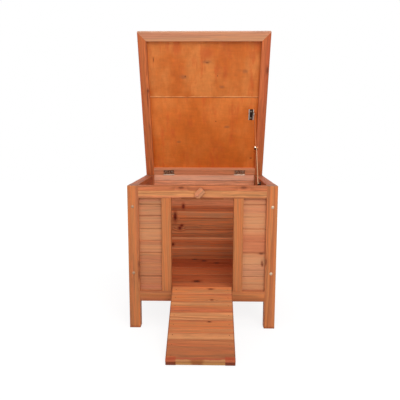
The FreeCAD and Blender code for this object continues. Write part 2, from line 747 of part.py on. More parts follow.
low_rivet = stay_rivet(Vec(WALL_IN_X, low_pivot.y, low_pivot.z), LOW_ARM_IN)
collar_start = Vec(PLATE_IN_X, low_pivot.y, low_pivot.z)
low_rivet = low_rivet.fuse(disc(COLLAR_R, collar_start, X_AXIS * -1, STAY_STANDOFF - RIVET_PLAY))
low_rivet = low_rivet.removeSplitter()
low_plate = block((PLATE_IN_X, WALL_IN_X), (STAY_Y - LOW_PLATE_L / 2, STAY_Y + LOW_PLATE_L / 2),
                  (low_pivot.z - LOW_PLATE_DOWN, low_pivot.z + LOW_PLATE_UP))
screws = []
for dy in (-LOW_SCREW_Y, LOW_SCREW_Y):
    screws.append(screw(Vec(PLATE_IN_X, STAY_Y + dy, low_pivot.z - LOW_SCREW_Z), X_AXIS, SCREW_L))
holes = Part.makeCompound(screws)
house_screws += screws
pieces["stay_lower_bracket"] = low_plate.cut(low_rivet).cut(holes)
pieces["stay_lower_rivet"] = low_rivet
pieces["side_top_rail_right"] = pieces["side_top_rail_right"].cut(holes)
pieces["hinge_screws_house"] = Part.makeCompound(house_screws)

panel_z = LID_TOP - PLY_REAR_T
up_rivet = stay_rivet(Vec(TAB_IN - RIVET_HEAD_H, STAY_Y, up_pivot_shut.z), UP_ARM_OUT)
up_head = Vec(TAB_IN, STAY_Y, up_pivot_shut.z)
up_rivet = up_rivet.fuse(disc(RIVET_HEAD_R, up_head, X_AXIS * -1, RIVET_HEAD_H)).removeSplitter()
plate_y = (STAY_Y - TOP_PLATE_FRONT, STAY_Y + TOP_PLATE_REAR)
up_plate = block((TAB_OUT - TOP_PLATE_W, TAB_OUT), plate_y, (panel_z - PLATE_T, panel_z))
tab = block((TAB_IN, TAB_OUT), (STAY_Y - TAB_R, STAY_Y + TAB_R), (up_pivot_shut.z, panel_z))
tab = tab.fuse(disc(TAB_R, up_head, X_AXIS, PLATE_T))
screws = []
for y in (plate_y[0] + TOP_SCREW_INSET, plate_y[1] - TOP_SCREW_INSET):
    head = Vec(TAB_OUT - TOP_SCREW_X, y, panel_z - PLATE_T)
    screws.append(screw(head, Z_AXIS, PLY_SCREW_L))
holes = Part.makeCompound(screws)
lid_screws += screws
lid_parts["stay_upper_bracket"] = up_plate.fuse(tab).removeSplitter().cut(up_rivet).cut(holes)
lid_parts["stay_upper_rivet"] = up_rivet
lid_parts["lid_panel_rear"] = lid_parts["lid_panel_rear"].cut(holes)
lid_parts["lid_screws"] = Part.makeCompound(lid_screws)

half_turn = 180.0
pieces["stay_lower_arm"] = stay_arm((LOW_ARM_IN, LOW_ARM_OUT), low_pivot, stay_angle, True)
pieces["stay_upper_arm"] = stay_arm((UP_ARM_IN, UP_ARM_OUT), up_pivot, stay_angle + half_turn, False)
pieces["stay_elbow_rivet"] = elbow_half(LOW_ARM_OUT, LOW_ARM_IN, elbow)
pieces["stay_elbow_cap"] = elbow_half(UP_ARM_IN, UP_ARM_OUT, elbow)

# Turn button with its screw and washer
pieces["turn_button"] = turn_button()
pieces["button_screw"] = button_pin
pieces["button_washer"] = button_washer(button_pin)

for name, shape in lid_parts.items():
    pieces[name] = turned(shape, LID_AXIS, -LID_OPEN_ANGLE)
for name, shape in ramp_parts.items():
    pieces[name] = turned(shape, RAMP_AXIS, ramp_swing())

os.makedirs("parts", exist_ok=True)
for name, shape in pieces.items():
    shape.exportStep("parts/%s.step" % name)
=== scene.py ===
import json
import math
import random

import bpy
from mathutils import Euler, Matrix, Vector


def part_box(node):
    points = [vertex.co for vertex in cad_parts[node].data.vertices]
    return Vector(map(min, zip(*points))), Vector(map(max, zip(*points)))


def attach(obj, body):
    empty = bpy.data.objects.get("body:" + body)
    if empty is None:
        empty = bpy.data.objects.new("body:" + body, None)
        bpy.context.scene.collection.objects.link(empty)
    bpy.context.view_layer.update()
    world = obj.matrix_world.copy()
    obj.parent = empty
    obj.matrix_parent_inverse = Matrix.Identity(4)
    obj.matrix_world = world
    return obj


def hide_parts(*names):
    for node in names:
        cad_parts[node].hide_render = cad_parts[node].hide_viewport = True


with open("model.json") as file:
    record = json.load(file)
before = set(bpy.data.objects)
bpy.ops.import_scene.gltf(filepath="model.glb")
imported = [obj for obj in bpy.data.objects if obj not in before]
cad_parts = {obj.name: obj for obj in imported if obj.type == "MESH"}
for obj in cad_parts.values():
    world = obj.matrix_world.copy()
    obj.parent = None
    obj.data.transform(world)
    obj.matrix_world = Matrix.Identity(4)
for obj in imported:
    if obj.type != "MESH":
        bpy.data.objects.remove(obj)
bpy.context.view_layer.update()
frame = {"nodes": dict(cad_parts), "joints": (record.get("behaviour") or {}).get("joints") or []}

MM = 0.001
X, Y, Z = 0, 1, 2
AXES = (X, Y, Z)

# Hinge lines, and how far each moving body stands open in the photograph
HINGES = {joint["name"]: joint for joint in frame["joints"]}
LID_LINE = Vector(HINGES["lid_hinge"]["pos_m"])
LID_RAISED = math.radians(HINGES["lid_hinge"]["range_deg"][1])
RAMP_LINE = Vector(HINGES["ramp_hinge"]["pos_m"])
RAMP_LOWERED = math.radians(HINGES["ramp_hinge"]["range_deg"][1])
BUTTON_LINE = Vector(HINGES["turn_button_pivot"]["pos_m"])
BUTTON_TILT = math.radians(45)

# How each moving body is turned to lie shut: line, angle and axis
SHUT = {
    "lid": (LID_LINE, LID_RAISED, "X"),
    "ramp": (RAMP_LINE, -RAMP_LOWERED, "X"),
    "button": (BUTTON_LINE, -BUTTON_TILT, "Y"),
}

# House in millimetres, with the lid and ramp shut
HALF_W = 210.0
HALF_D = 215.0
BOX_H = 414.0
FLOOR_TOP = 111.0
LID_FRONT = -275.0
LID_REAR = 221.0
LID_LOW = 414.4
LID_HIGH = 434.4
LID_RAIL_W = 28.0
LID_REAR_RAIL_W = 20.0
RAMP_HALF_W = 85.0
RAMP_Z = 112.0
RAMP_TOP = 377.5
RAMP_FACE = -198.0
BATTEN_FACE = -206.0
SIDE_BATTEN_W = 25.0

# Button about its pivot, and its back and front ahead of the house
BUTTON_HALF_W = 10.0
BUTTON_TAIL = 7.0
BUTTON_HEAD = 23.0
BUTTON_BACK = 0.6
BUTTON_FACE = 10.6

# Board seams in millimetres: first seam and pitch
FRONT_SEAMS = (152.0, 69.5)
REAR_SEAMS = (189.0, 69.5)
FLOOR_SEAMS = (-125.0, 89.0)
RAMP_SEAMS = (173.0, 69.5)


# Camera at the photograph's place

PICTURE = 400.0
FOCAL_PX = 497.3224
CENTRE_PX = (200.0, 222.5394)
CAMERA_AT = Vector((0.02074, -1.59219, 0.54114))
CAMERA_TURN = Euler((-0.16552, -0.00206, 0.01973))
SENSOR = 36.0
NEAREST = 0.01


def set_camera():
    """Camera that looks along its own +Y before Blender's axes are put on it."""
    swing = (
        Matrix.Rotation(CAMERA_TURN.z, 3, "Z")
        @ Matrix.Rotation(CAMERA_TURN.x, 3, "X")
        @ Matrix.Rotation(CAMERA_TURN.y, 3, "Y")
    )
    look = swing @ Matrix.Rotation(math.radians(90), 3, "X")
    lens = bpy.data.cameras.new("photo_camera")
    lens.sensor_fit = "HORIZONTAL"
    lens.sensor_width = SENSOR
    lens.lens = FOCAL_PX / PICTURE * SENSOR
    lens.shift_x = (PICTURE / 2 - CENTRE_PX[0]) / PICTURE
    lens.shift_y = (CENTRE_PX[1] - PICTURE / 2) / PICTURE
    lens.clip_start = NEAREST
    camera = bpy.data.objects.new("photo_camera", lens)
    camera.matrix_world = Matrix.Translation(CAMERA_AT) @ look.to_4x4()
    bpy.context.scene.collection.objects.link(camera)
    bpy.context.scene.camera = camera


# Node wiring

class Wire:
    """A node's socket; sums written on it add Math nodes to its tree."""

    def __init__(self, tree, socket):
        self.tree = tree
        self.socket = socket

    @classmethod
    def make(cls, tree, kind, settings=(), sockets=(), out=0):
        """Add a node: its settings first, then its sockets' values or links."""
        made = tree.nodes.new(kind)
        for key, value in dict(settings).items():
            setattr(made, key, value)
        for key, value in dict(sockets).items():
            for one in value if isinstance(value, list) else [value]:
                if isinstance(one, Wire):
                    tree.links.new(one.socket, made.inputs[key])
                else:
                    made.inputs[key].default_value = one
        return cls(tree, made.outputs[out])

    def maths(self, operation, *values):
        """Math node on the values, in their order."""
        settings = {"operation": operation}
        return Wire.make(self.tree, "ShaderNodeMath", settings, enumerate(values))

    def calc(self, operation, *others):
        return self.maths(operation, self, *others)

    def __add__(self, other):
        return self.maths("ADD", self, other)

    def __radd__(self, other):
        return self.maths("ADD", self, other)

    def __sub__(self, other):
        return self.maths("SUBTRACT", self, other)

    def __rsub__(self, other):
        return self.maths("SUBTRACT", other, self)

    def __mul__(self, other):
        return self.maths("MULTIPLY", self, other)

    def __rmul__(self, other):
        return self.maths("MULTIPLY", self, other)

    def __truediv__(self, other):
        return self.maths("DIVIDE", self, other)

    def __rtruediv__(self, other):
        return self.maths("DIVIDE", other, self)

    def __abs__(self):
        return self.maths("ABSOLUTE", self)

    def others(self):
        """Every output of this socket's node, in order."""
        return [Wire(self.tree, socket) for socket in self.socket.node.outputs]


def paint(red, green, blue):
    """Linear colour from screen values of 0 to 255."""
    values = []
    for level in (red, green, blue):
        share = level / 255
        values.append(share / 12.92 if share < 0.04045 else ((share + 0.055) / 1.055) ** 2.4)
    return (*values, 1.0)


def fade(value, start, end):
    """Eased step from 0 at start to 1 at end."""
    settings = {"interpolation_type": "SMOOTHSTEP"}
    limits = {"Value": value, "From Min": start, "From Max": end}
    return Wire.make(value.tree, "ShaderNodeMapRange", settings, limits)


def mixed(share, first, second):
    """Colour mix; share is a wire."""
    settings = {"data_type": "RGBA", "blend_type": "MIX"}
    return Wire.make(share.tree, "ShaderNodeMix", settings, {0: share, 6: first, 7: second}, 2)


def vector_maths(tree, operation, sockets, out=0):
    return Wire.make(tree, "ShaderNodeVectorMath", {"operation": operation}, sockets, out)


def shaded(colour, level):
    """Colour times a wired number."""
    return vector_maths(level.tree, "SCALE", {0: colour, "Scale": level})


def parted(vector):
    """The three numbers of a wired vector."""
    return Wire.make(vector.tree, "ShaderNodeSeparateXYZ", (), {0: vector}).others()


def noise(point, scales, layer, detail=2.0, rough=0.5):
    """Noise of 0 to 1 over a point, with its scale in cycles a metre by axis."""
    scaled = vector_maths(point.tree, "MULTIPLY", {0: point, 1: scales})
    sockets = {"Vector": scaled, "W": layer, "Scale": 1.0, "Detail": detail, "Roughness": rough}
    return Wire.make(point.tree, "ShaderNodeTexNoise", {"noise_dimensions": "4D"}, sockets)


def even(scale):
    """The same noise scale on all three axes."""
    return (scale, scale, scale)


def chance(number):
    """Three fixed random numbers for a wired whole number."""
    settings = {"noise_dimensions": "1D"}
    drawn = Wire.make(number.tree, "ShaderNodeTexWhiteNoise", settings, {"W": number}, "Color")
    return parted(drawn)


def new_finish(name):
    """Material with its shader, and the wires of its object point and normal."""
    finish = bpy.data.materials.new(name)
    finish.use_nodes = True
    tree = finish.node_tree
    point = Wire.make(tree, "ShaderNodeTexCoord", (), (), "Object")
    normal = Wire(tree, point.socket.node.outputs["Normal"])
    return finish, tree.nodes["Principled BSDF"], point, normal


def bump(height, strength, depth):
    """Normal from a wired height; depth in millimetres."""
    sockets = {"Height": height, "Strength": strength, "Distance": depth * MM}
    return Wire.make(height.tree, "ShaderNodeBump", (), sockets)


def feed(shader, **sockets):
    """Wire or set the shader's sockets, named with _ for a space."""
    for key, value in sockets.items():
        socket = shader.inputs[key.replace("_", " ")]
        if isinstance(value, Wire):
            value.tree.links.new(value.socket, socket)
        else:
            socket.default_value = value


def laid_shut(point, line, angle, axis):
    """The point as it lies with its lid or ramp shut: turned by angle about the line."""
    turn = Matrix.Rotation(angle, 3, axis)
    offset = line - turn @ line
    sockets = {"Vector": point, "Location": offset, "Rotation": turn.to_euler()}
    return Wire.make(point.tree, "ShaderNodeMapping", {"vector_type": "POINT"}, sockets)


# Timber

WOOD_GLOSS = 0.25
WOOD_ROUGH = 0.6

# Noise in cycles a metre, across the grain and along it; the ragged tip's is even
RIPPLES = (60.0, 3.0)
SWELLS = (18.0, 0.9)
FIBRES = (1100.0, 28.0)
WINDING = (16.0, 11.0)
STREAKS = (230.0, 7.0)
BANDS = (46.0, 1.6)
RAGGED = 34.0

# How far the noise pushes things aside, in metres
SWELL_PUSH = 0.008
RIPPLE_PUSH = 0.003
STREAK_PUSH = 0.012
STAIN_PUSH = 0.012
FOOT_PUSH = 0.01
TORN_PUSH = 0.014

# Heart of the log behind the show face, in millimetres, and its lean along the grain
HEART_NEAR = 20.0
HEART_SPREAD = 40.0
HEART_LEAN = 0.03

# Colours of marks in the wood, the last three in screen values
KNOT_RIM = paint(70, 24, 8)
WORN_BROWN = paint(148, 88, 36)
END_BROWN = paint(96, 42, 18)
TORN_RED = paint(168, 74, 50)
CORNER_RED = paint(166, 66, 34)
TIP_BARE = (180, 126, 76)
SIDE_CAP = (116, 46, 14)
CROSS_CAP = (182, 130, 72)

# The tip's brown patch lies this far left of the middle, in metres
WORN_LEFT = 0.008


class Tone:
    """Colours of one stained timber."""

    def __init__(self, light, warm, rosy, dark, knot=(104, 46, 20), halo=(150, 72, 36)):
        self.light = paint(*light)
        self.warm = paint(*warm)
        self.rosy = paint(*rosy)
        self.dark = paint(*dark)
        self.knot = paint(*knot)
        self.halo = paint(*halo)


FRAME_TONE = Tone((200, 128, 76), (190, 106, 55), (186, 104, 66), (140, 68, 32))
RAIL_TONE = Tone((210, 144, 90), (202, 122, 68), (198, 116, 78), (156, 82, 42))
BOARD_TONE = Tone((204, 144, 100), (192, 124, 80), (190, 116, 86), (148, 86, 52))
PALE_BOARD_TONE = Tone((206, 144, 100), (198, 128, 84), (194, 122, 86), (152, 88, 54))
INNER_TONE = Tone((218, 154, 108), (204, 108, 50), (198, 106, 60), (138, 48, 8),
                  (118, 34, 2), (152, 52, 12))
FLOOR_TONE = Tone((208, 128, 82), (190, 90, 40), (186, 88, 48), (132, 46, 10),
                  (64, 14, 0), (128, 44, 12))
RAMP_TONE = Tone((208, 138, 87), (194, 107, 56), (190, 102, 62), (146, 74, 38))
LID_FRONT_TONE = Tone((206, 148, 110), (200, 136, 94), (196, 130, 98), (162, 100, 64))
LID_LEFT_TONE = Tone((196, 112, 62), (188, 96, 46), (184, 92, 50), (132, 58, 24))
LID_RIGHT_TONE = Tone((188, 106, 58), (178, 90, 44), (174, 84, 50), (124, 54, 24))
LID_REAR_TONE = Tone((222, 158, 116), (214, 140, 96), (212, 142, 106), (168, 98, 62))
RIM_TONE = Tone((226, 166, 134), (218, 152, 118), (214, 148, 122), (180, 114, 84))
BUTTON_TONE = Tone((204, 140, 98), (194, 120, 78), (192, 114, 82), (150, 84, 52))


def drawn_out(grain, scale):
    """Noise scale by axis, from its cycles across the grain and along it."""
    across, along = scale
    return tuple(along if axis == grain else across for axis in AXES)


def knot_rings(far):
    """Core, dark rim and halo of a knot, by the distance from its middle in its own sizes."""
    return fade(far, 1.2, 0.5), fade(abs(far - 1.0), 0.45, 0.0), fade(far, 3.0, 0.8)


def knot_marks(along, across, knots):
    """Wired masks of listed knots: core, dark rim, halo and the bulge of the grain round them.

    Each knot is its place along and across the grain, and its half length and half width, in
    millimetres.
    """
    core = rim = halo = bulge = 0.0
    for at_along, at_across, half_along, half_across in knots:
        da = (along - at_along * MM) / (half_along * MM)
        ds = (across - at_across * MM) / (half_across * MM)
        rings = knot_rings((da * da + ds * ds).calc("SQRT"))
        core, rim, halo = rings[0] + core, rings[1] + rim, rings[2] + halo
        bulge = (da * da * -0.08 - ds * ds * 0.16).calc("EXPONENT") * 1.5 + bulge
    return core, rim, halo, bulge


def stray_knots(along, across, lift, share):
    """Masks of scattered knots, one cell in a few, for wood that the photograph doesn't show."""
    tree = along.tree
    spread = triple(tree, along * 5.5, across * 14.0, lift)
    settings = {"voronoi_dimensions": "3D", "feature": "F1"}
    sockets = {"Vector": spread, "Scale": 1.0, "Randomness": 0.8}
    far, drawn = Wire.make(tree, "ShaderNodeTexVoronoi", settings, sockets).others()[:2]
    pick, girth, _ = parted(drawn)
    there = pick.calc("LESS_THAN", share)
    reach = far / (girth * 0.03 + 0.03)
    rings = [ring * there for ring in knot_rings(reach)]
    return (*rings, (reach * reach * -0.11).calc("EXPONENT") * there * 1.5)


def edge_gap(place, box):
    """How far a point lies from the nearest edge of its box."""
    gaps = []
    for axis in AXES:
        low, high = box[axis]
        gaps.append((high - low) * 0.5 * MM - abs(place[axis] - (low + high) * 0.5 * MM))
    least = gaps[0].calc("MINIMUM", gaps[1])
    most = gaps[0].calc("MAXIMUM", gaps[1])
    return least.calc("MAXIMUM", most.calc("MINIMUM", gaps[2]))


def worn_strip(x, near, far, around):
    """Bare edge of the ramp's tip, with a brown patch left of its middle."""
    return mixed(fade(abs(x + WORN_LEFT), near * MM, far * MM), WORN_BROWN, paint(*around))


def torn_tip(colour, point, along, side, tip, layer):
    """Ramp boards' tip: dark ends, a ragged red band, a bare worn strip and red corners."""
    top, half = tip
    ends = fade(abs(along), (RAMP_HALF_W - 3.5) * MM, (RAMP_HALF_W - 0.5) * MM)
    colour = mixed(ends * 0.6, colour, END_BROWN)
    torn = side + (noise(point, even(RAGGED), layer, 3.0, 0.6) - 0.5) * TORN_PUSH
    red = fade(torn, (top - 10.0) * MM, (top - 7.0) * MM)
    colour = mixed(red * 0.6, colour, TORN_RED)
    bare = fade(torn, (top - 4.5) * MM, (top - 2.0) * MM)
    colour = mixed(bare * 0.8, colour, worn_strip(along, 10.0, 22.0, TIP_BARE))
    corner = fade(abs(along), (half - 1.0) * MM, (half + 1.0) * MM)
    scuffed = fade(torn, (top - 16.0) * MM, (top - 8.0) * MM) * corner
    return mixed(scuffed * 0.75, colour, CORNER_RED)


def timber(name, tone, grain, across, box, body="house", seams=None, knots=(), stray=0.0,
           ring=2.6, contrast=1.0, bold=0.7, stains=(), tip=None, cap=None, foot=False,
           seed=1, level=1.0):
    """Stained softwood with growth rings, fibres, knots, end grain and rubbed edges.

    grain is the axis the wood runs along, across the axis over its show face, and box its limits
    in millimetres with the lid and ramp shut. seams gives the first seam and pitch of a boarded
    panel, stray the share of scattered knots, ring the growth in millimetres a year, contrast and
    bold how strongly grain and knots show. Each band across the face, of stain, or on the rear wall
    and floor of painted light and painted shade, gives low, high and softness of its edges in
    millimetres, colour and share. tip is where the ramp's boards show their torn edge: its height
    and half the width between the battens. cap is the colour of the battens' bare upper end, and
    foot darkens the end that stands on the ground.
    """
    finish, shader, point, normal = new_finish(name)
    tree = finish.node_tree
    draw = random.Random(seed)
    run = Vector([1.0 if axis == grain else 0.0 for axis in AXES])
    if body in SHUT:
        line, angle, turn_axis = SHUT[body]
        point = laid_shut(point, line, angle, turn_axis)
        run = Matrix.Rotation(angle, 3, turn_axis).inverted() @ run
    place = parted(point)
    deep_axis = next(axis for axis in AXES if axis not in (grain, across))
    along, side, deep = place[grain], place[across], place[deep_axis]

    # Each board or stick is cut from another place in the log; the unused draw keeps the order
    if seams:
        first, pitch = seams
        count = ((side - first * MM) / (pitch * MM)).calc("FLOOR")
        shade, shift, _ = chance(count + (seed * 7.0 + 0.5))
        in_board = side - first * MM - count * (pitch * MM)
        heart_side = in_board - (shift * 1.6 - 0.3) * (pitch * MM)
        slip = count * 3.7 + seed
    else:
        shade, shift, _ = draw.random(), draw.random(), draw.random()
        low, high = box[across]
        heart_side = side - (low * MM + (high - low) * MM * (shift * 2.4 - 0.7))
        slip = seed * 3.7
    heart_deep = deep - (box[deep_axis][1] + HEART_NEAR + HEART_SPREAD * draw.random()) * MM
    lean = draw.uniform(-HEART_LEAN, HEART_LEAN)

    # Growth rings about the heart, wavy along the log and pushed aside by knots
    broad = noise(point, drawn_out(grain, SWELLS), slip)
    waves = noise(point, drawn_out(grain, RIPPLES), slip, 3.0)
    marks = [0.0, 0.0, 0.0, 0.0]
    if knots:
        marks = knot_marks(along, side, knots)
    if stray:
        strays = stray_knots(along, side, slip, stray)
        marks = [scattered + listed for listed, scattered in zip(marks, strays)]
    core, rim, halo, bulge = marks
    cut_side = heart_side + along * lean
    far = (cut_side * cut_side + heart_deep * heart_deep).calc("SQRT")
    far = far + (broad - 0.5) * SWELL_PUSH + (waves - 0.5) * RIPPLE_PUSH
    phase = far / (ring * MM) + bulge
    rise = phase.calc("FRACT")
    ring_tone = chance(phase.calc("FLOOR") + slip)[0]
    late = fade(rise, 0.2, 0.9) * fade(rise, 1.0, 0.9) * (ring_tone * 0.9 + 0.1)

    # Fibres, wandering streaks and bands of another hue in the grain direction
    fibre = noise(point, drawn_out(grain, FIBRES), slip, 2.0, 0.6)
    aside = (noise(point, drawn_out(grain, WINDING), slip + 17.0) - 0.5) * STREAK_PUSH
    sideways = shaded(drawn_out(grain, (1.0, 0.0)), aside)
    wandering = vector_maths(tree, "ADD", {0: point, 1: sideways})
    streak = noise(wandering, drawn_out(grain, STREAKS), slip, 3.0, 0.65)
    band = noise(point, drawn_out(grain, BANDS), slip + 11.0)

    colour = mixed(fade(streak, 0.32, 0.7), tone.light, tone.warm)
    colour = mixed(fade(band, 0.42, 0.68), colour, tone.rosy)
    wavy = side + (waves - 0.5) * STAIN_PUSH
    # Bands across the face: stain, and on the rear wall and floor also painted light and painted
    # shade
    for low, high, soft, stain, share in stains:
        inside = fade(wavy, (low - soft) * MM, low * MM) * fade(wavy, (high + soft) * MM, high * MM)
        colour = mixed(inside * share, colour, paint(*stain))
    colour = mixed(late * (0.5 * contrast), colour, tone.dark)
    lift = (broad - 0.5) * (0.5 * contrast) + (fibre - 0.5) * 0.35
    lift = lift + (streak - 0.5) * (1.6 * contrast)
    colour = shaded(colour, lift + (shade - 0.5) * (0.16 * contrast) + level)

    # Knots, then end grain, stain in the seams or rubbed edges
    rough = WOOD_ROUGH - late * 0.08 + (fibre - 0.5) * 0.16
    if knots or stray:
        wobble = (streak - 0.5) * 0.9 + 1.0
        colour = mixed(halo * wobble * (0.55 * bold), colour, tone.halo)
        colour = mixed((core * wobble).calc("MINIMUM", 1.0) * bold, colour, tone.knot)
        colour = mixed(rim * wobble * (0.4 * bold), colour, KNOT_RIM)
        rough = rough - core * 0.12
    facing = vector_maths(tree, "DOT_PRODUCT", {0: normal, 1: run}, "Value")
    colour = shaded(colour, 1.0 - fade(abs(facing), 0.6, 0.9) * 0.36)
    if seams:
        edge = abs(in_board - 0.5 * pitch * MM)
        dirt = fade(edge, (0.5 * pitch - 3.0) * MM, (0.5 * pitch - 0.6) * MM)
        colour = shaded(colour, 1.0 - dirt * 0.16)
    else:
        rub = fade(edge_gap(place, box), 2.2 * MM, 0.4 * MM) * fade(broad + streak, 0.8, 1.3)
        colour = mixed(rub * 0.35, colour, tone.light)
        rough = rough + rub * 0.08

    # Marks of the ramp's tip and the feet
    if cap:
        bare = fade(place[Z], (RAMP_TOP - 1.4) * MM, (RAMP_TOP - 0.6) * MM)
        colour = mixed(bare * 0.9, colour, worn_strip(place[X], 9.0, 18.0, cap))
    if foot:
        # Posts darker towards the end that stands on the ground
        darker_foot = fade(along + (streak - 0.5) * FOOT_PUSH, 9.0 * MM, 1.0 * MM)
        colour = mixed(darker_foot * 0.7, colour, tone.dark)
    if tip:
        colour = torn_tip(colour, point, along, side, tip, slip + 31.0)
    grained = bump(late * 0.5 + fibre * 0.55 - core * 0.3, 0.3, 0.5)
    feed(shader, Base_Color=colour, Roughness=rough, Normal=grained, Specular_IOR_Level=WOOD_GLOSS)
    return finish


def dress(node, finish):
    """Give a CAD node its finish."""
    slots = frame["nodes"][node].data.materials
    slots.clear()
    slots.append(finish)


def box_mm(node):
    """Limits of a node of the house in millimetres, by axis."""
    low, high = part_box(node)
    return [(low[axis] / MM, high[axis] / MM) for axis in AXES]


def clad(node, tone, grain, across, box=None, **more):
    """Dress a node in timber of its own cut."""
    dress(node, timber(node, tone, grain, across, box or box_mm(node), **more))


# Knots and bands by piece, as timber takes them: bands of stain, and on the rear wall and floor
# painted light and painted shade

POST_KNOTS = {
    "post_front_left": [(190, -181, 9, 2), (158, -181, 11, 2)],
    "post_front_right": [(198, 181, 9, 2.5)],
}
POST_LEVEL = {"left": 0.86, "right": 0.95}
PANEL_LOOK = {"left": (BOARD_TONE, 0.75, 0.92), "right": (PALE_BOARD_TONE, 0.55, 1.0)}
PANEL_KNOTS = {"left": (), "right": [(168, 220, 5, 2.5), (171, 193, 2.5, 5), (172, 186, 2, 3)]}
PANEL_STAINS = {
    "left": [
        (327.5, 330, 1.5, (124, 60, 30), 0.55),
        (247, 258, 6, (178, 98, 64), 0.5),
        (128, 210, 14, (174, 96, 58), 0.4),
    ],
    "right": [
        (228, 270, 14, (186, 100, 58), 0.45),
        (152, 204, 10, (204, 148, 108), 0.4),
    ],
}
TOP_RAIL_KNOTS = [(-59, 409, 7, 3), (115, 410, 7, 3)]
TOP_RAIL_STAINS = [
    (403, BOX_H, 8, (188, 100, 62), 0.7),
    (388, 396, 6, (216, 152, 92), 0.55),
]
BOTTOM_RAIL_STAINS = [(60, 84, 8, (150, 76, 42), 0.45)]
WALL_KNOTS = [
    (-75, 302, 4, 7),
    (-105, 265, 4.5, 13),
    (-81, 232, 4, 3.5),
    (-88, 222, 4.5, 4.5),
    (-114, 161, 4.5, 4),
]
WALL_LIP = (236, 170, 118)
# Bands across the rear wall: the pale one at the top is painted light, the dark one at the foot of
# the wall is painted shade above the floor, and the others make the wall lighter or darker by
# height
WALL_STAINS_AND_PAINTED_LIGHT = [
    (378, BOX_H, 27, (236, 162, 122), 0.75),
    (306, 352, 6, (186, 122, 86), 0.6),
    (287, 300, 5, (140, 64, 30), 0.7),
    (198, 258, 14, (214, 132, 80), 0.42),
    (180, 188, 3, WALL_LIP, 0.5),
    (110, 164, 6, (150, 72, 34), 0.35),
    (146, 149, 2, WALL_LIP, 0.5),
]
FLOOR_KNOTS = [(1, 149, 7, 8), (46, 117, 6, 7), (-18, -113, 8, 8), (-33, 171, 7, 7)]
# Bands across the floor: the dark one over the rear is painted shade, and the other lightens one
# board
FLOOR_STAINS_AND_PAINTED_SHADE = [
    (110, HALF_D, 60, (116, 36, 6), 0.5),
    (57, 138, 4, (184, 88, 46), 0.5),
]
RAMP_KNOTS = [(25, 123.5, 6, 2), (28, 167, 4, 2), (21, 249, 4, 2)]
RAMP_PALE = (222, 158, 106)
RAMP_STAINS = [
    (345, 400, 50, (158, 84, 50), 0.6),
    (178, 187, 3, RAMP_PALE, 0.5),
    (219, 241, 5, RAMP_PALE, 0.45),
    (291, 306, 4, RAMP_PALE, 0.5),
]
LID_LEFT_KNOTS = [(-90, -186, 5, 3), (-60, -189, 22, 1.6)]
LID_LEFT_STAINS = [(-194, -182, 6, (200, 108, 58), 0.5)]
LID_RIGHT_KNOTS = [(-157, 205, 9, 3)]
LID_RIGHT_STAINS = [(183, 194, 5, (208, 112, 62), 0.6)]


def dress_house():
    """Timber of the posts, stiles, rails, boards and floor."""
    seed = 10
    for side in ("left", "right"):
        for end in ("front", "rear"):
            seed += 1
            post = "post_%s_%s" % (end, side)
            clad(post, FRAME_TONE, Z, X, knots=POST_KNOTS.get(post, ()), foot=True, seed=seed,
                 stray=0.0 if end == "front" else 0.12, level=POST_LEVEL[side])
            stile = "side_stile_%s_%s" % (side, end)
            clad(stile, FRAME_TONE, Z, Y, stray=0.12, seed=seed + 20)
        stile = "front_stile_" + side
        clad(stile, FRAME_TONE, Z, X, contrast=0.85, seed=seed + 40, level=0.88)
        for place in ("top", "bottom"):
            rail = "side_%s_rail_%s" % (place, side)
            clad(rail, LID_RIGHT_TONE, Y, Z, stray=0.15, seed=seed + 60)
        tone, contrast, level = PANEL_LOOK[side]
        clad("front_boards_" + side, tone, X, Z, seams=FRONT_SEAMS, knots=PANEL_KNOTS[side],
             contrast=contrast, stains=PANEL_STAINS[side], seed=seed + 80, level=level)
        clad("side_boards_" + side, BOARD_TONE, Y, Z, seams=FRONT_SEAMS, stray=0.3, seed=seed + 90)
    clad("front_top_rail", RAIL_TONE, X, Z, knots=TOP_RAIL_KNOTS, bold=0.75, contrast=1.4,
         stains=TOP_RAIL_STAINS, seed=131)
    clad("front_bottom_rail", FRAME_TONE, X, Z, contrast=0.9, stains=BOTTOM_RAIL_STAINS, seed=132,
         level=0.92)
    clad("rear_top_rail", RIM_TONE, X, Z, seed=133, level=1.06)
    clad("rear_bottom_rail", FRAME_TONE, X, Z, stray=0.15, seed=134)
    clad("rear_boards", INNER_TONE, X, Z, seams=REAR_SEAMS, knots=WALL_KNOTS, contrast=1.3,
         bold=1.1, stains=WALL_STAINS_AND_PAINTED_LIGHT, seed=135, level=1.12)
    clad("floor_boards", FLOOR_TONE, X, Y, seams=FLOOR_SEAMS, knots=FLOOR_KNOTS, contrast=1.2,
         bold=1.15, stains=FLOOR_STAINS_AND_PAINTED_SHADE, seed=136)
    clad("floor_bearers", FRAME_TONE, Y, Z, stray=0.1, seed=137)
    clad("door_stop", FRAME_TONE, X, Z, stray=0.1, seed=138)


def dress_ramp():
    """Timber of the ramp's boards and battens."""
    half = RAMP_HALF_W
    inner = half - SIDE_BATTEN_W
    height = (RAMP_Z, RAMP_TOP)
    box = [(-half, half), (BATTEN_FACE, RAMP_FACE), height]
    clad("ramp_boards", RAMP_TONE, X, Z, box, body="ramp", seams=RAMP_SEAMS, knots=RAMP_KNOTS,
         contrast=1.15, bold=1.0, stains=RAMP_STAINS, tip=(RAMP_TOP, inner), seed=141, level=0.98)
    depth = (-HALF_D, BATTEN_FACE)
    box = [(-half, half), depth, height]
    clad("ramp_side_battens", FRAME_TONE, Z, X, box, body="ramp", cap=SIDE_CAP, seed=143,
         level=0.88)
    box = [(-inner, inner), depth, height]
    clad("ramp_cross_battens", FRAME_TONE, X, Z, box, body="ramp", cap=CROSS_CAP, seed=144)


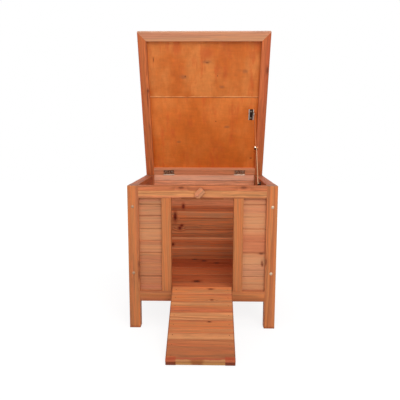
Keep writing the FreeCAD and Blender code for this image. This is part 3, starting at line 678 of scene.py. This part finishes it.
def dress_lid():
    """Timber of the lid's rails, and its two sheets."""
    inner = HALF_W - LID_RAIL_W
    depth, height = (LID_FRONT, LID_REAR), (LID_LOW, LID_HIGH)
    box = [(-HALF_W, HALF_W), (LID_FRONT, LID_FRONT + LID_RAIL_W), height]
    clad("lid_rail_front", LID_FRONT_TONE, X, Y, box, body="lid", contrast=0.6, seed=156,
         level=1.05)
    box = [(-inner, inner), (HALF_D - LID_REAR_RAIL_W, LID_REAR), height]
    clad("lid_rail_rear", LID_REAR_TONE, X, Y, box, body="lid", seed=155)
    box = [(-HALF_W, -inner), depth, height]
    clad("lid_rail_left", LID_LEFT_TONE, Y, X, box, body="lid", knots=LID_LEFT_KNOTS,
         stains=LID_LEFT_STAINS, seed=160, level=1.06)
    box = [(inner, HALF_W), depth, height]
    clad("lid_rail_right", LID_RIGHT_TONE, Y, X, box, body="lid", knots=LID_RIGHT_KNOTS,
         stains=LID_RIGHT_STAINS, seed=162, level=1.08)
    sheet = plywood("lid_panel_front", FRONT_SHEET_MARKS, 0.25, 1.0, PAINTED_SEAM_HIGHLIGHT, 15.0)
    dress("lid_panel_front", sheet)
    sheet = plywood("lid_panel_rear", REAR_SHEET_MARKS, 0.55, 1.13, DARK_LIP, 14.0)
    dress("lid_panel_rear", sheet)


def dress_button():
    """Timber of the turn button."""
    x, z = BUTTON_LINE.x / MM, BUTTON_LINE.z / MM
    box = [
        (x - BUTTON_HALF_W, x + BUTTON_HALF_W),
        (-HALF_D - BUTTON_FACE, -HALF_D - BUTTON_BACK),
        (z - BUTTON_TAIL, z + BUTTON_HEAD),
    ]
    clad("turn_button", BUTTON_TONE, Z, X, box, body="button", seed=171, ring=2.2, level=0.9)


# Plywood

PLY_PALE = paint(216, 132, 66)
PLY_DEEP = paint(202, 102, 34)
PLY_RED = paint(198, 88, 36)
PLY_GREY = paint(150, 88, 56)
PLY_DARK = paint(104, 42, 12)

# Noise in cycles a metre over the sheet
PLY_SWELL = (7.0, 2.2, 1.0)
PLY_FIBRE = (420.0, 26.0, 30.0)
PLY_MOTTLE = (60.0, 34.0, 1.0)
PLY_CLOUD = (9.0, 7.0, 1.0)
PLY_FIGURE = (30.0, 130.0, 1.0)
PLY_SMEAR = (46.0, 12.0, 1.0)
PLY_WOBBLE = (160.0, 160.0, 1.0)

# Flecks of each sheet: colour, share, and each fleck's middle and half sizes in millimetres
FRONT_SHEET_MARKS = [
    (PLY_RED, 0.6, [(8, -208, 26, 24)]),
    (PLY_GREY, 0.55, [(8, -180, 16, 7), (135, -150, 12, 7), (-68, -132, 14, 8), (59, -99, 10, 6)]),
    (PLY_DARK, 0.75, [(-164, -187, 2, 9), (44, -136, 2, 3), (-62, -134, 3, 3), (10, -178, 6, 2)]),
]
REAR_SHEET_MARKS = [
    (PLY_GREY, 0.55, [(78, 40, 12, 5), (-90, 96, 10, 5)]),
    (PLY_DARK, 0.75, [(167, 157, 5, 3), (40, 20, 3, 2)]),
]

# Edge of each sheet at the seam: where its lip starts and ends, and its colour; the front sheet's
# pale lip is a painted highlight, the rear sheet's a dark line
PAINTED_SEAM_HIGHLIGHT = (-68.6, -67.2, (240, 180, 118))
DARK_LIP = (-61.0, -62.4, (124, 56, 20))


def plywood(name, marks, deep, level, lip, seed):
    """Orange stained sheet: peeled veneer in wide waves, a mottled stain, flecks and smudges."""
    finish, shader, point, _ = new_finish(name)
    point = laid_shut(point, *SHUT["lid"])
    x, y, _ = parted(point)
    rise = (noise(point, PLY_SWELL, seed) * 9.0 + x * 14.0).calc("FRACT")
    late = fade(rise, 0.3, 0.9) * fade(rise, 1.0, 0.9)
    fibre = noise(point, PLY_FIBRE, seed + 1.0, 3.0, 0.65)
    mottle = noise(point, PLY_MOTTLE, seed + 2.0, 4.0, 0.65)
    cloud = noise(point, PLY_CLOUD, seed + 3.0, 3.0, 0.55)
    smear = noise(point, PLY_SMEAR, seed + 4.0, 3.0, 0.6)
    figure = noise(point, PLY_FIGURE, seed + 6.0, 3.0, 0.6)
    colour = mixed(fade(cloud, 0.38, 0.62) * (1.0 - deep), PLY_DEEP, PLY_PALE)
    colour = mixed(late * 0.25, colour, PLY_DEEP)
    colour = mixed(fade(smear, 0.5, 0.7) * 0.65, colour, PLY_RED)
    lift = (mottle - 0.5) * 0.5 + (fibre - 0.5) * 0.2 + (figure - 0.5) * 0.3
    colour = shaded(colour, lift + (cloud - 0.5) * 0.3 + level)
    # Lip along the seam: a painted highlight on the front sheet, a dark line on the rear sheet
    start, stop, bare = lip
    edge = fade(y + (mottle - 0.5) * 0.002, start * MM, stop * MM) * fade(figure, 0.3, 0.6)
    colour = mixed(edge * 0.5, colour, paint(*bare))
    wobble = noise(point, PLY_WOBBLE, seed + 5.0) * 0.8 + 0.6
    for stain, share, flecks in marks:
        for at_x, at_y, half_x, half_y in flecks:
            dx = (x - at_x * MM) / (half_x * MM)
            dy = (y - at_y * MM) / (half_y * MM)
            fleck = fade((dx * dx + dy * dy).calc("SQRT") * wobble, 1.3, 0.2)
            colour = mixed(fleck * share, colour, stain)
    rough = 0.52 + (mottle - 0.5) * 0.2 - late * 0.05
    grained = bump(fibre * 0.6 + late * 0.3, 0.3, 0.4)
    feed(shader, Base_Color=colour, Roughness=rough, Normal=grained, Specular_IOR_Level=WOOD_GLOSS)
    return finish


# Steel

# Rolling lines in cycles a metre, where the left colour starts and is full in metres, and the
# stay plate's middle and half width in millimetres, whose long edges take a painted highlight
ROLLING = (60.0, 2600.0, 2600.0)
LEFT_EDGE = 0.02
PLATE_EDGES = (160.5, 9.0)

TARNISH_SPOT = paint(70, 52, 38)
PAINTED_EDGE_HIGHLIGHT = paint(222, 212, 200)
LEAF_PALE = paint(176, 138, 114)
LEAF_DARK = paint(96, 66, 52)
LEAF_SPECK = paint(196, 172, 150)
KNUCKLE = paint(188, 166, 148)


def steel(name, base, roughness, tarnish, seed, left=None, painted_dark_reflection=None, rim=None):
    """Plated steel: fine rolling lines, cloudy plating and darker tarnish in patches.

    left is the colour of its left half, and faces turned down take a colour that is a painted dark
    reflection; rim is the middle and half width in millimetres of a plate whose long edges take a
    painted highlight.
    """
    finish, shader, point, normal = new_finish(name)
    lines = noise(point, ROLLING, seed)
    cloud = noise(point, even(120.0), seed + 1.0, 3.0)
    spot = noise(point, even(420.0), seed + 2.0)
    colour = mixed(fade(cloud, 0.45, 0.8) * 0.6, paint(*base), paint(*tarnish))
    colour = mixed(fade(spot, 0.66, 0.74) * 0.5, colour, TARNISH_SPOT)
    if left:
        x = parted(point)[X]
        colour = mixed(fade(x, LEFT_EDGE, -LEFT_EDGE) * 0.85, colour, paint(*left))
    # Faces turned down take a painted dark reflection
    if painted_dark_reflection:
        lift = parted(normal)[Z]
        colour = mixed(fade(lift, 0.4, -0.15) * 0.95, colour, paint(*painted_dark_reflection))
    # Painted highlight along the plate's long edges, in patches
    if rim:
        middle, half = rim
        out = abs(parted(point)[X] - middle * MM)
        rubbed = fade(out, (half - 4.5) * MM, (half - 2.5) * MM) * fade(cloud, 0.3, 0.55)
        colour = mixed(rubbed * 0.9, colour, PAINTED_EDGE_HIGHLIGHT)
    colour = shaded(colour, (lines - 0.5) * 0.2 + 1.0)
    rough = (cloud - 0.5) * 0.25 + (lines - 0.5) * 0.1 + roughness
    scored = bump(lines + spot * 0.5, 0.12, 0.1)
    feed(shader, Base_Color=colour, Roughness=rough, Metallic=1.0, Normal=scored)
    return finish


def hinge_steel(name, line, seed):
    """Dull plated leaf, darkened further as a painted dark reflection, with knuckles lighter about
    the pin.
    """
    finish, shader, point, _ = new_finish(name)
    _, y, z = parted(point)
    dy, dz = y - line.y, z - line.z
    # Lighter colour on the knuckle about the pin
    worn = fade((dy * dy + dz * dz).calc("SQRT"), 3.4 * MM, 2.4 * MM)
    cloud = noise(point, even(160.0), seed, 3.0)
    speck = noise(point, even(700.0), seed + 1.0)
    colour = mixed(fade(cloud, 0.42, 0.62), LEAF_PALE, LEAF_DARK)
    colour = mixed(fade(speck, 0.6, 0.7) * 0.6, colour, LEAF_SPECK)
    colour = mixed(worn * 0.9, colour, KNUCKLE)
    rough = 0.5 - worn * 0.2 + (cloud - 0.5) * 0.2
    pitted = bump(cloud + speck, 0.15, 0.1)
    feed(shader, Base_Color=colour, Roughness=rough, Metallic=0.85, Normal=pitted)
    return finish


def dress_metal():
    """Dress the stay, hinges and fasteners, and give the finishes of screws, bolts and nails."""
    pale = steel("pale_plated_steel", (172, 136, 106), 0.4, (128, 94, 70), 3.0)
    bronzed = steel("bronzed_steel", (172, 100, 60), 0.42, (120, 62, 36), 4.0)
    # The dark and black steels are dull plating, darkened further as a painted dark reflection
    dark = steel("dark_plated_steel_painted_reflection", (84, 66, 54), 0.42, (46, 36, 30), 5.0)
    polished = steel("polished_steel", (228, 208, 192), 0.2, (192, 172, 156), 6.0,
                     painted_dark_reflection=(30, 14, 6))
    black = steel("black_plated_steel_painted_reflection", (66, 50, 42), 0.42, (40, 30, 26), 12.0, rim=PLATE_EDGES)
    zinc = steel("dull_zinc", (176, 166, 150), 0.42, (132, 118, 102), 7.0)
    bolt = steel("bolt_zinc", (198, 176, 150), 0.44, (156, 130, 104), 10.0, left=(158, 122, 96))
    nail = steel("rusted_nail", (136, 84, 56), 0.55, (98, 58, 38), 11.0)
    copper = steel("copper_plated_steel", (194, 132, 102), 0.5, (156, 94, 66), 13.0)
    lid_hinge = hinge_steel("lid_hinge_steel", LID_LINE, 8.0)
    ramp_hinge = hinge_steel("ramp_hinge_steel", RAMP_LINE, 9.0)
    stay = {
        "stay_lower_bracket": dark,
        "stay_lower_rivet": dark,
        "stay_lower_arm": pale,
        "stay_elbow_rivet": bronzed,
        "stay_elbow_cap": polished,
        "stay_upper_arm": bronzed,
        "stay_upper_rivet": zinc,
        "stay_upper_bracket": black,
    }
    for node in frame["nodes"]:
        if "hinge_leaf" in node:
            dress(node, lid_hinge if node.startswith("lid") else ramp_hinge)
        elif node in stay:
            dress(node, stay[node])
        elif any(word in node for word in ("screw", "bolt", "pins", "washer")):
            dress(node, zinc)
    return zinc, bolt, copper, nail


# Screws, bolts and nails, each kind one tree that is set at points and turned to their aim

def fastener_tree(name, numbers):
    """Geometry tree with points in, named numbers and a finish, and its inputs' wires by name."""
    tree = bpy.data.node_groups.new(name, "GeometryNodeTree")
    tree.interface.new_socket("Points", in_out="INPUT", socket_type="NodeSocketGeometry")
    for key in numbers:
        tree.interface.new_socket(key, in_out="INPUT", socket_type="NodeSocketFloat")
    tree.interface.new_socket("Finish", in_out="INPUT", socket_type="NodeSocketMaterial")
    tree.interface.new_socket("Mesh", in_out="OUTPUT", socket_type="NodeSocketGeometry")
    given = Wire.make(tree, "NodeGroupInput").others()
    return tree, {wire.socket.name: wire for wire in given}


def triple(tree, *values):
    """Vector of three wired or plain numbers."""
    return Wire.make(tree, "ShaderNodeCombineXYZ", (), enumerate(values))


def form(tree, kind, sockets, lift):
    """A basic mesh lifted along Z."""
    made = Wire.make(tree, "GeometryNodeMesh" + kind, (), sockets)
    placed = {"Geometry": made, "Translation": triple(tree, 0.0, 0.0, lift)}
    return Wire.make(tree, "GeometryNodeTransform", (), placed)


def carved(body, *tools):
    settings = {"operation": "DIFFERENCE", "solver": "EXACT"}
    sockets = {"Mesh 1": body, "Mesh 2": list(tools)}
    return Wire.make(body.tree, "GeometryNodeMeshBoolean", settings, sockets)


def cross_tools(tree, width, length, depth):
    """Two crossed bars that cut a cross recess."""
    bars = []
    for size in ((width, length, depth), (length, width, depth)):
        bars.append(form(tree, "Cube", {"Size": triple(tree, *size)}, 0.0))
    return bars


def read_point(tree, kind, name):
    """A named value that each point carries."""
    return Wire.make(tree, "GeometryNodeInputNamedAttribute", {"data_type": kind}, {"Name": name})


def set_out(tree, given, parts):
    """Join the parts, set them at the points in millimetre scale and close the tree."""
    whole = Wire.make(tree, "GeometryNodeJoinGeometry", (), {"Geometry": parts})
    aim = read_point(tree, "FLOAT_VECTOR", "aim")
    stretch = read_point(tree, "FLOAT_VECTOR", "stretch")
    spin = read_point(tree, "FLOAT", "spin")
    facing = Wire.make(tree, "FunctionNodeAlignRotationToVector", {"axis": "Z"}, {"Vector": aim})
    sockets = {"Axis": (0.0, 0.0, 1.0), "Angle": spin}
    twist = Wire.make(tree, "FunctionNodeAxisAngleToRotation", (), sockets)
    settings = {"rotation_space": "LOCAL"}
    turned = Wire.make(tree, "FunctionNodeRotateRotation", settings, {0: facing, 1: twist})
    sockets = {
        "Points": given["Points"],
        "Instance": whole,
        "Rotation": turned,
        "Scale": stretch,
    }
    placed = Wire.make(tree, "GeometryNodeInstanceOnPoints", (), sockets)
    real = Wire.make(tree, "GeometryNodeRealizeInstances", (), {0: placed})
    sockets = {"Geometry": real, "Material": given["Finish"]}
    done = Wire.make(tree, "GeometryNodeSetMaterial", (), sockets)
    result = tree.nodes.new("NodeGroupOutput")
    tree.links.new(done.socket, result.inputs["Mesh"])
    return tree


def screw_tree():
    """Countersunk screw with a cross recess; its head lies flush at the point."""
    tree, given = fastener_tree("countersunk_screw", SCREW_SIZES)
    head, shank, sink, length = [given[key] for key in SCREW_SIZES]
    sockets = {"Vertices": 20, "Radius Top": head, "Radius Bottom": shank, "Depth": sink}
    cone = form(tree, "Cone", sockets, sink * -1.0)
    cone = carved(cone, *cross_tools(tree, head * 0.3, head * 1.3, sink * 1.2))
    sockets = {"Vertices": 10, "Radius": shank, "Depth": length - sink}
    pin = form(tree, "Cylinder", sockets, (length + sink) * -0.5)
    return set_out(tree, given, [cone, pin])


def bolt_tree():
    """Domed bolt head on a thin skirt, with a six sided socket, and its shank."""
    tree, given = fastener_tree("domed_bolt", BOLT_SIZES)
    head, height, shank, length = [given[key] for key in BOLT_SIZES]
    sockets = {"Segments": 24, "Rings": 14, "Radius": 1.0}
    ball = Wire.make(tree, "GeometryNodeMeshUVSphere", (), sockets)
    sockets = {"Geometry": ball, "Scale": triple(tree, head * 0.94, head * 0.94, height)}
    dome = Wire.make(tree, "GeometryNodeTransform", (), sockets)
    sockets = {"Size": triple(tree, head * 3.0, head * 3.0, head * 2.0)}
    under = form(tree, "Cube", sockets, head * -0.98)
    sockets = {"Vertices": 6, "Radius": head * 0.42, "Depth": height}
    socket = form(tree, "Cylinder", sockets, height)
    dome = carved(dome, under, socket)
    sockets = {"Vertices": 24, "Radius": head, "Depth": height * 0.2}
    skirt = form(tree, "Cylinder", sockets, height * 0.1)
    sockets = {"Vertices": 12, "Radius": shank, "Depth": length}
    pin = form(tree, "Cylinder", sockets, length * -0.5)
    return set_out(tree, given, [dome, skirt, pin])


def nail_tree():
    """Small nail head: a low bevelled rim with a crown."""
    tree, given = fastener_tree("nail_head", NAIL_SIZES)
    head, height = [given[key] for key in NAIL_SIZES]
    shoulder = head * 0.72
    sockets = {"Vertices": 9, "Radius Top": shoulder, "Radius Bottom": head, "Depth": height}
    rim = form(tree, "Cone", sockets, 0.0)
    sockets = {"Vertices": 9, "Radius Top": head * 0.3, "Radius Bottom": shoulder}
    crown = form(tree, "Cone", dict(sockets, Depth=height * 0.5), height)
    return set_out(tree, given, [rim, crown])


def fasteners(name, body, tree, numbers, finish, places, stands_for=None):
    """One piece of fasteners on a body, from points in millimetres, their aims and stretch."""
    draw = random.Random(len(name))
    mesh = bpy.data.meshes.new(name + "_points")
    mesh.from_pydata([point * MM for point, _, _ in places], [], [])
    mesh.materials.append(finish)
    for key, kind in (("aim", "FLOAT_VECTOR"), ("stretch", "FLOAT_VECTOR"), ("spin", "FLOAT")):
        mesh.attributes.new(key, kind, "POINT")
    for n, (_, aim, stretch) in enumerate(places):
        mesh.attributes["aim"].data[n].vector = aim
        mesh.attributes["stretch"].data[n].vector = (MM, MM, MM * stretch)
        mesh.attributes["spin"].data[n].value = draw.uniform(0.0, math.pi)
    holder = bpy.data.objects.new(name + "_points", mesh)
    bpy.context.scene.collection.objects.link(holder)
    maker = holder.modifiers.new("fasteners", "NODES")
    maker.node_group = tree
    values = dict(numbers, Finish=finish)
    for item in tree.interface.items_tree:
        if item.name in values:
            maker[item.identifier] = values[item.name]
    graph = bpy.context.evaluated_depsgraph_get()
    shape = bpy.data.meshes.new_from_object(holder.evaluated_get(graph))
    bpy.data.objects.remove(holder)
    shape.name = name
    piece = bpy.data.objects.new(name, shape)
    bpy.context.scene.collection.objects.link(piece)
    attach(piece, body)
    if stands_for:
        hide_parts(stands_for)


def opened(body, point, aim, stretch=1.0):
    """A place on the shut lid or ramp, in millimetres, moved to where the body rests."""
    line, angle, axis = SHUT[body]
    turn = Matrix.Rotation(-angle, 3, axis)
    return (line / MM + turn @ (Vector(point) - line / MM), turn @ Vector(aim), stretch)


def standing(point, aim):
    """A place on the house, in millimetres, with no stretch."""
    return (Vector(point), Vector(aim), 1.0)


UP, DOWN, AHEAD, BACK, INWARD = (0, 0, 1), (0, 0, -1), (0, -1, 0), (0, 1, 0), (-1, 0, 0)

# Sizes in millimetres; a tree's inputs take these names
SCREW_SIZES = {"Head": 2.6, "Shank": 1.38, "Sink": 1.2, "Length": 9.0}
BOLT_SIZES = {"Head": 4.4, "Height": 2.0, "Shank": 3.0, "Length": 48.0}
BUTTON_SCREW_SIZES = {"Head": 4.2, "Height": 2.2, "Shank": 2.2, "Length": 26.7}
NAIL_SIZES = {"Head": 1.4, "Height": 0.3}

# Hinge screws: hinge middles, screws out from them and from the hinge line, and the ramp's leaf
LID_HINGE_X = 128.0
RAMP_HINGE_X = 56.0
SCREW_OUT = 11.0
LEAF_SCREW = 10.0
LEAF_FACE = -216.2

# Stay screws in the right wall and, shorter, in the lid's plywood
STAY_FOOT_X, STAY_FOOT_Z, STAY_FOOT_Y = 180.0, 392.0, (-16.0, -4.0)
STAY_HEAD_X, STAY_HEAD_Z, STAY_HEAD_Y = 159.5, 426.4, (-16.0, 7.0)
PLY_SCREW = 0.667

# Bolts through the posts, and the seat of the button screw's head
BOLT_X = 196.0
BOLT_Z = (164.0, 355.0)
BUTTON_SCREW_Y = -HALF_D - 10.7

# Nail lines: floor boards, side and rear frames, lid and ramp
NAIL_SHARES = (0.24, 0.76)
FLOOR_EDGES = (-183.5, -125.0, -36.0, 53.0, 142.0, 183.5)
FLOOR_NAIL_X = 172.0
FRAME_NAIL_Z = (96.0, 399.0)
SIDE_NAIL_Y = (-177.0, -164.0, 164.0, 177.0)
REAR_NAIL_X = 199.0
REAR_NAIL_PAIR = (-5.0, 5.0)
LID_NAIL_X = 188.0
LID_NAIL_Y = [-245.0 + n * 61.0 for n in range(8)]
SHEET_NAIL_X = [-150.0 + n * 60.0 for n in range(6)]
SHEET_NAIL_Y = (-253.0, -72.0, -57.0, 201.0)
RAMP_EDGES = (RAMP_Z, 173.0, 242.5, 312.0, RAMP_TOP)
RAMP_NAIL_X = 72.5


def set_screws(finish):
    """Hinge and stay screws on the house, the lid and the ramp."""
    tree = screw_tree()
    on_house = [standing((STAY_FOOT_X, y, STAY_FOOT_Z), INWARD) for y in STAY_FOOT_Y]
    on_lid = [opened("lid", (STAY_HEAD_X, y, STAY_HEAD_Z), DOWN, PLY_SCREW) for y in STAY_HEAD_Y]
    on_ramp = []
    for side in (-1, 1):
        for out in (-SCREW_OUT, SCREW_OUT):
            x = side * LID_HINGE_X + out
            on_house.append(standing((x, HALF_D - LEAF_SCREW, BOX_H), UP))
            on_lid.append(opened("lid", (x, HALF_D - LEAF_SCREW, LID_LOW), DOWN))
            x = side * RAMP_HINGE_X + out
            on_house.append(standing((x, LEAF_FACE, FLOOR_TOP - LEAF_SCREW), AHEAD))
            on_ramp.append(opened("ramp", (x, LEAF_FACE, RAMP_Z + LEAF_SCREW), AHEAD))
    kind = (tree, SCREW_SIZES, finish)
    fasteners("cross_screws_house", "house", *kind, on_house, "hinge_screws_house")
    fasteners("cross_screws_lid", "lid", *kind, on_lid, "lid_screws")
    fasteners("cross_screws_ramp", "ramp", *kind, on_ramp, "ramp_screws")


def set_bolts(finish, button_finish):
    """Frame bolts in the posts and the round head screw of the turn button."""
    tree = bolt_tree()
    places = []
    for x in (-BOLT_X, BOLT_X):
        for z in BOLT_Z:
            places.append(standing((x, -HALF_D, z), AHEAD))
            places.append(standing((x, HALF_D, z), BACK))
    fasteners("socket_bolts", "house", tree, BOLT_SIZES, finish, places, "frame_bolts")
    places = [standing((BUTTON_LINE.x / MM, BUTTON_SCREW_Y, BUTTON_LINE.z / MM), AHEAD)]
    kind = (tree, BUTTON_SCREW_SIZES, button_finish)
    fasteners("button_pivot_screw", "house", *kind, places, "button_screw")


def nail_lines(edges):
    """Two nail lines in each board between the given edges."""
    boards = zip(edges, edges[1:])
    return [low + (high - low) * share for low, high in boards for share in NAIL_SHARES]


def set_nails(finish):
    """Nails of the floor, the frame joints, the lid's sheets and the ramp's boards."""
    kind = (nail_tree(), NAIL_SIZES, finish)
    on_house = []
    for side in (-1, 1):
        for y in nail_lines(FLOOR_EDGES):
            on_house.append(standing((side * FLOOR_NAIL_X, y, FLOOR_TOP), UP))
        for z in FRAME_NAIL_Z:
            for y in SIDE_NAIL_Y:
                on_house.append(standing((side * HALF_W, y, z), (side, 0, 0)))
            for shift in REAR_NAIL_PAIR:
                on_house.append(standing((side * REAR_NAIL_X, HALF_D, z + shift), BACK))
    fasteners("nails_house", "house", *kind, on_house)
    on_lid = []
    for y in LID_NAIL_Y:
        for x in (-LID_NAIL_X, LID_NAIL_X):
            on_lid.append(opened("lid", (x, y, LID_HIGH), UP))
    for x in SHEET_NAIL_X:
        for y in SHEET_NAIL_Y:
            on_lid.append(opened("lid", (x, y, LID_HIGH), UP))
    fasteners("nails_lid", "lid", *kind, on_lid)
    on_ramp = []
    for z in nail_lines(RAMP_EDGES):
        for x in (-RAMP_NAIL_X, RAMP_NAIL_X):
            on_ramp.append(opened("ramp", (x, RAMP_FACE, z), BACK))
    fasteners("nails_ramp", "ramp", *kind, on_ramp)


# Studio

WHITE = (1.0, 1.0, 1.0, 1.0)
WORLD_LEVEL = 0.42

# Floor in metres: its shadow runs out over SHADOW_REACH, inside which this much of it glows
FLOOR_WHITE = paint(248, 248, 248)
FLOOR_SIZE = 9.0
FLOOR_DROP = 0.4 * MM
FLOOR_GLOW = 1.08
SHADOW_REACH = (0.5, 1.0)
GLOW_NEAR = 0.8

# Softboxes: place and aim in metres, size of the square and watts
LAMPS = {
    "key_softbox": ((0.6, -2.6, 1.9), (0.0, -0.05, 0.38), 1.5, 46.0),
    "fill_softbox": ((-1.9, -2.1, 1.1), (0.0, 0.0, 0.35), 1.6, 7.5),
    "top_softbox": ((0.1, -0.8, 2.9), (0.0, 0.0, 0.3), 1.4, 8.0),
    "rear_softbox": ((0.0, 2.2, 1.9), (0.0, 0.2, 0.4), 1.0, 14.0),
}


def seen_white(tree):
    """1 for rays from the camera, metal and glass, which see white where others see light."""
    path = Wire.make(tree, "ShaderNodeLightPath")
    by_name = {wire.socket.name: wire for wire in path.others()}
    seen = by_name["Is Camera Ray"].calc("MAXIMUM", by_name["Is Glossy Ray"])
    return seen.calc("MAXIMUM", by_name["Is Transmission Ray"])


def set_floor():
    """White floor that keeps a soft shadow near the house and runs out to plain white."""
    half = FLOOR_SIZE / 2
    corners = [(-half, -half), (half, -half), (half, half), (-half, half)]
    mesh = bpy.data.meshes.new("studio_floor")
    mesh.from_pydata([(x, y, -FLOOR_DROP) for x, y in corners], [], [(0, 1, 2, 3)])
    floor = bpy.data.objects.new("studio_floor", mesh)
    bpy.context.scene.collection.objects.link(floor)
    finish = bpy.data.materials.new("studio_floor")
    finish.use_nodes = True
    tree = finish.node_tree
    tree.nodes.clear()
    point = Wire.make(tree, "ShaderNodeTexCoord", (), (), "Object")
    away = fade(vector_maths(tree, "LENGTH", {0: point}, "Value"), *SHADOW_REACH)
    share = (away * (1.0 - GLOW_NEAR) + GLOW_NEAR) * seen_white(tree)
    matt = Wire.make(tree, "ShaderNodeBsdfDiffuse", (), {"Color": FLOOR_WHITE})
    glow = Wire.make(tree, "ShaderNodeEmission", (), {"Color": WHITE, "Strength": FLOOR_GLOW})
    both = Wire.make(tree, "ShaderNodeMixShader", (), {0: share, 1: matt, 2: glow})
    result = tree.nodes.new("ShaderNodeOutputMaterial")
    tree.links.new(both.socket, result.inputs["Surface"])
    floor.data.materials.append(finish)


def set_light():
    """White room and soft lamps."""
    world = bpy.data.worlds.new("white_room")
    bpy.context.scene.world = world
    world.use_nodes = True
    tree = world.node_tree
    tree.nodes.clear()
    strength = seen_white(tree) * (1.0 - WORLD_LEVEL) + WORLD_LEVEL
    sky = Wire.make(tree, "ShaderNodeBackground", (), {"Color": WHITE, "Strength": strength})
    result = tree.nodes.new("ShaderNodeOutputWorld")
    tree.links.new(sky.socket, result.inputs["Surface"])
    for name, (at, aim, size, watts) in LAMPS.items():
        lamp = bpy.data.lights.new(name, "AREA")
        lamp.shape = "RECTANGLE"
        lamp.size = lamp.size_y = size
        lamp.energy = watts
        made = bpy.data.objects.new(name, lamp)
        made.location = at
        made.rotation_euler = (Vector(aim) - Vector(at)).to_track_quat("-Z", "Y").to_euler()
        bpy.context.scene.collection.objects.link(made)
    bpy.context.scene.view_settings.view_transform = "Standard"


set_camera()
set_floor()
set_light()
dress_house()
dress_ramp()
dress_lid()
dress_button()
SCREW_STEEL, BOLT_STEEL, BUTTON_STEEL, NAIL_STEEL = dress_metal()
set_screws(SCREW_STEEL)
set_bolts(BOLT_STEEL, BUTTON_STEEL)
set_nails(NAIL_STEEL)
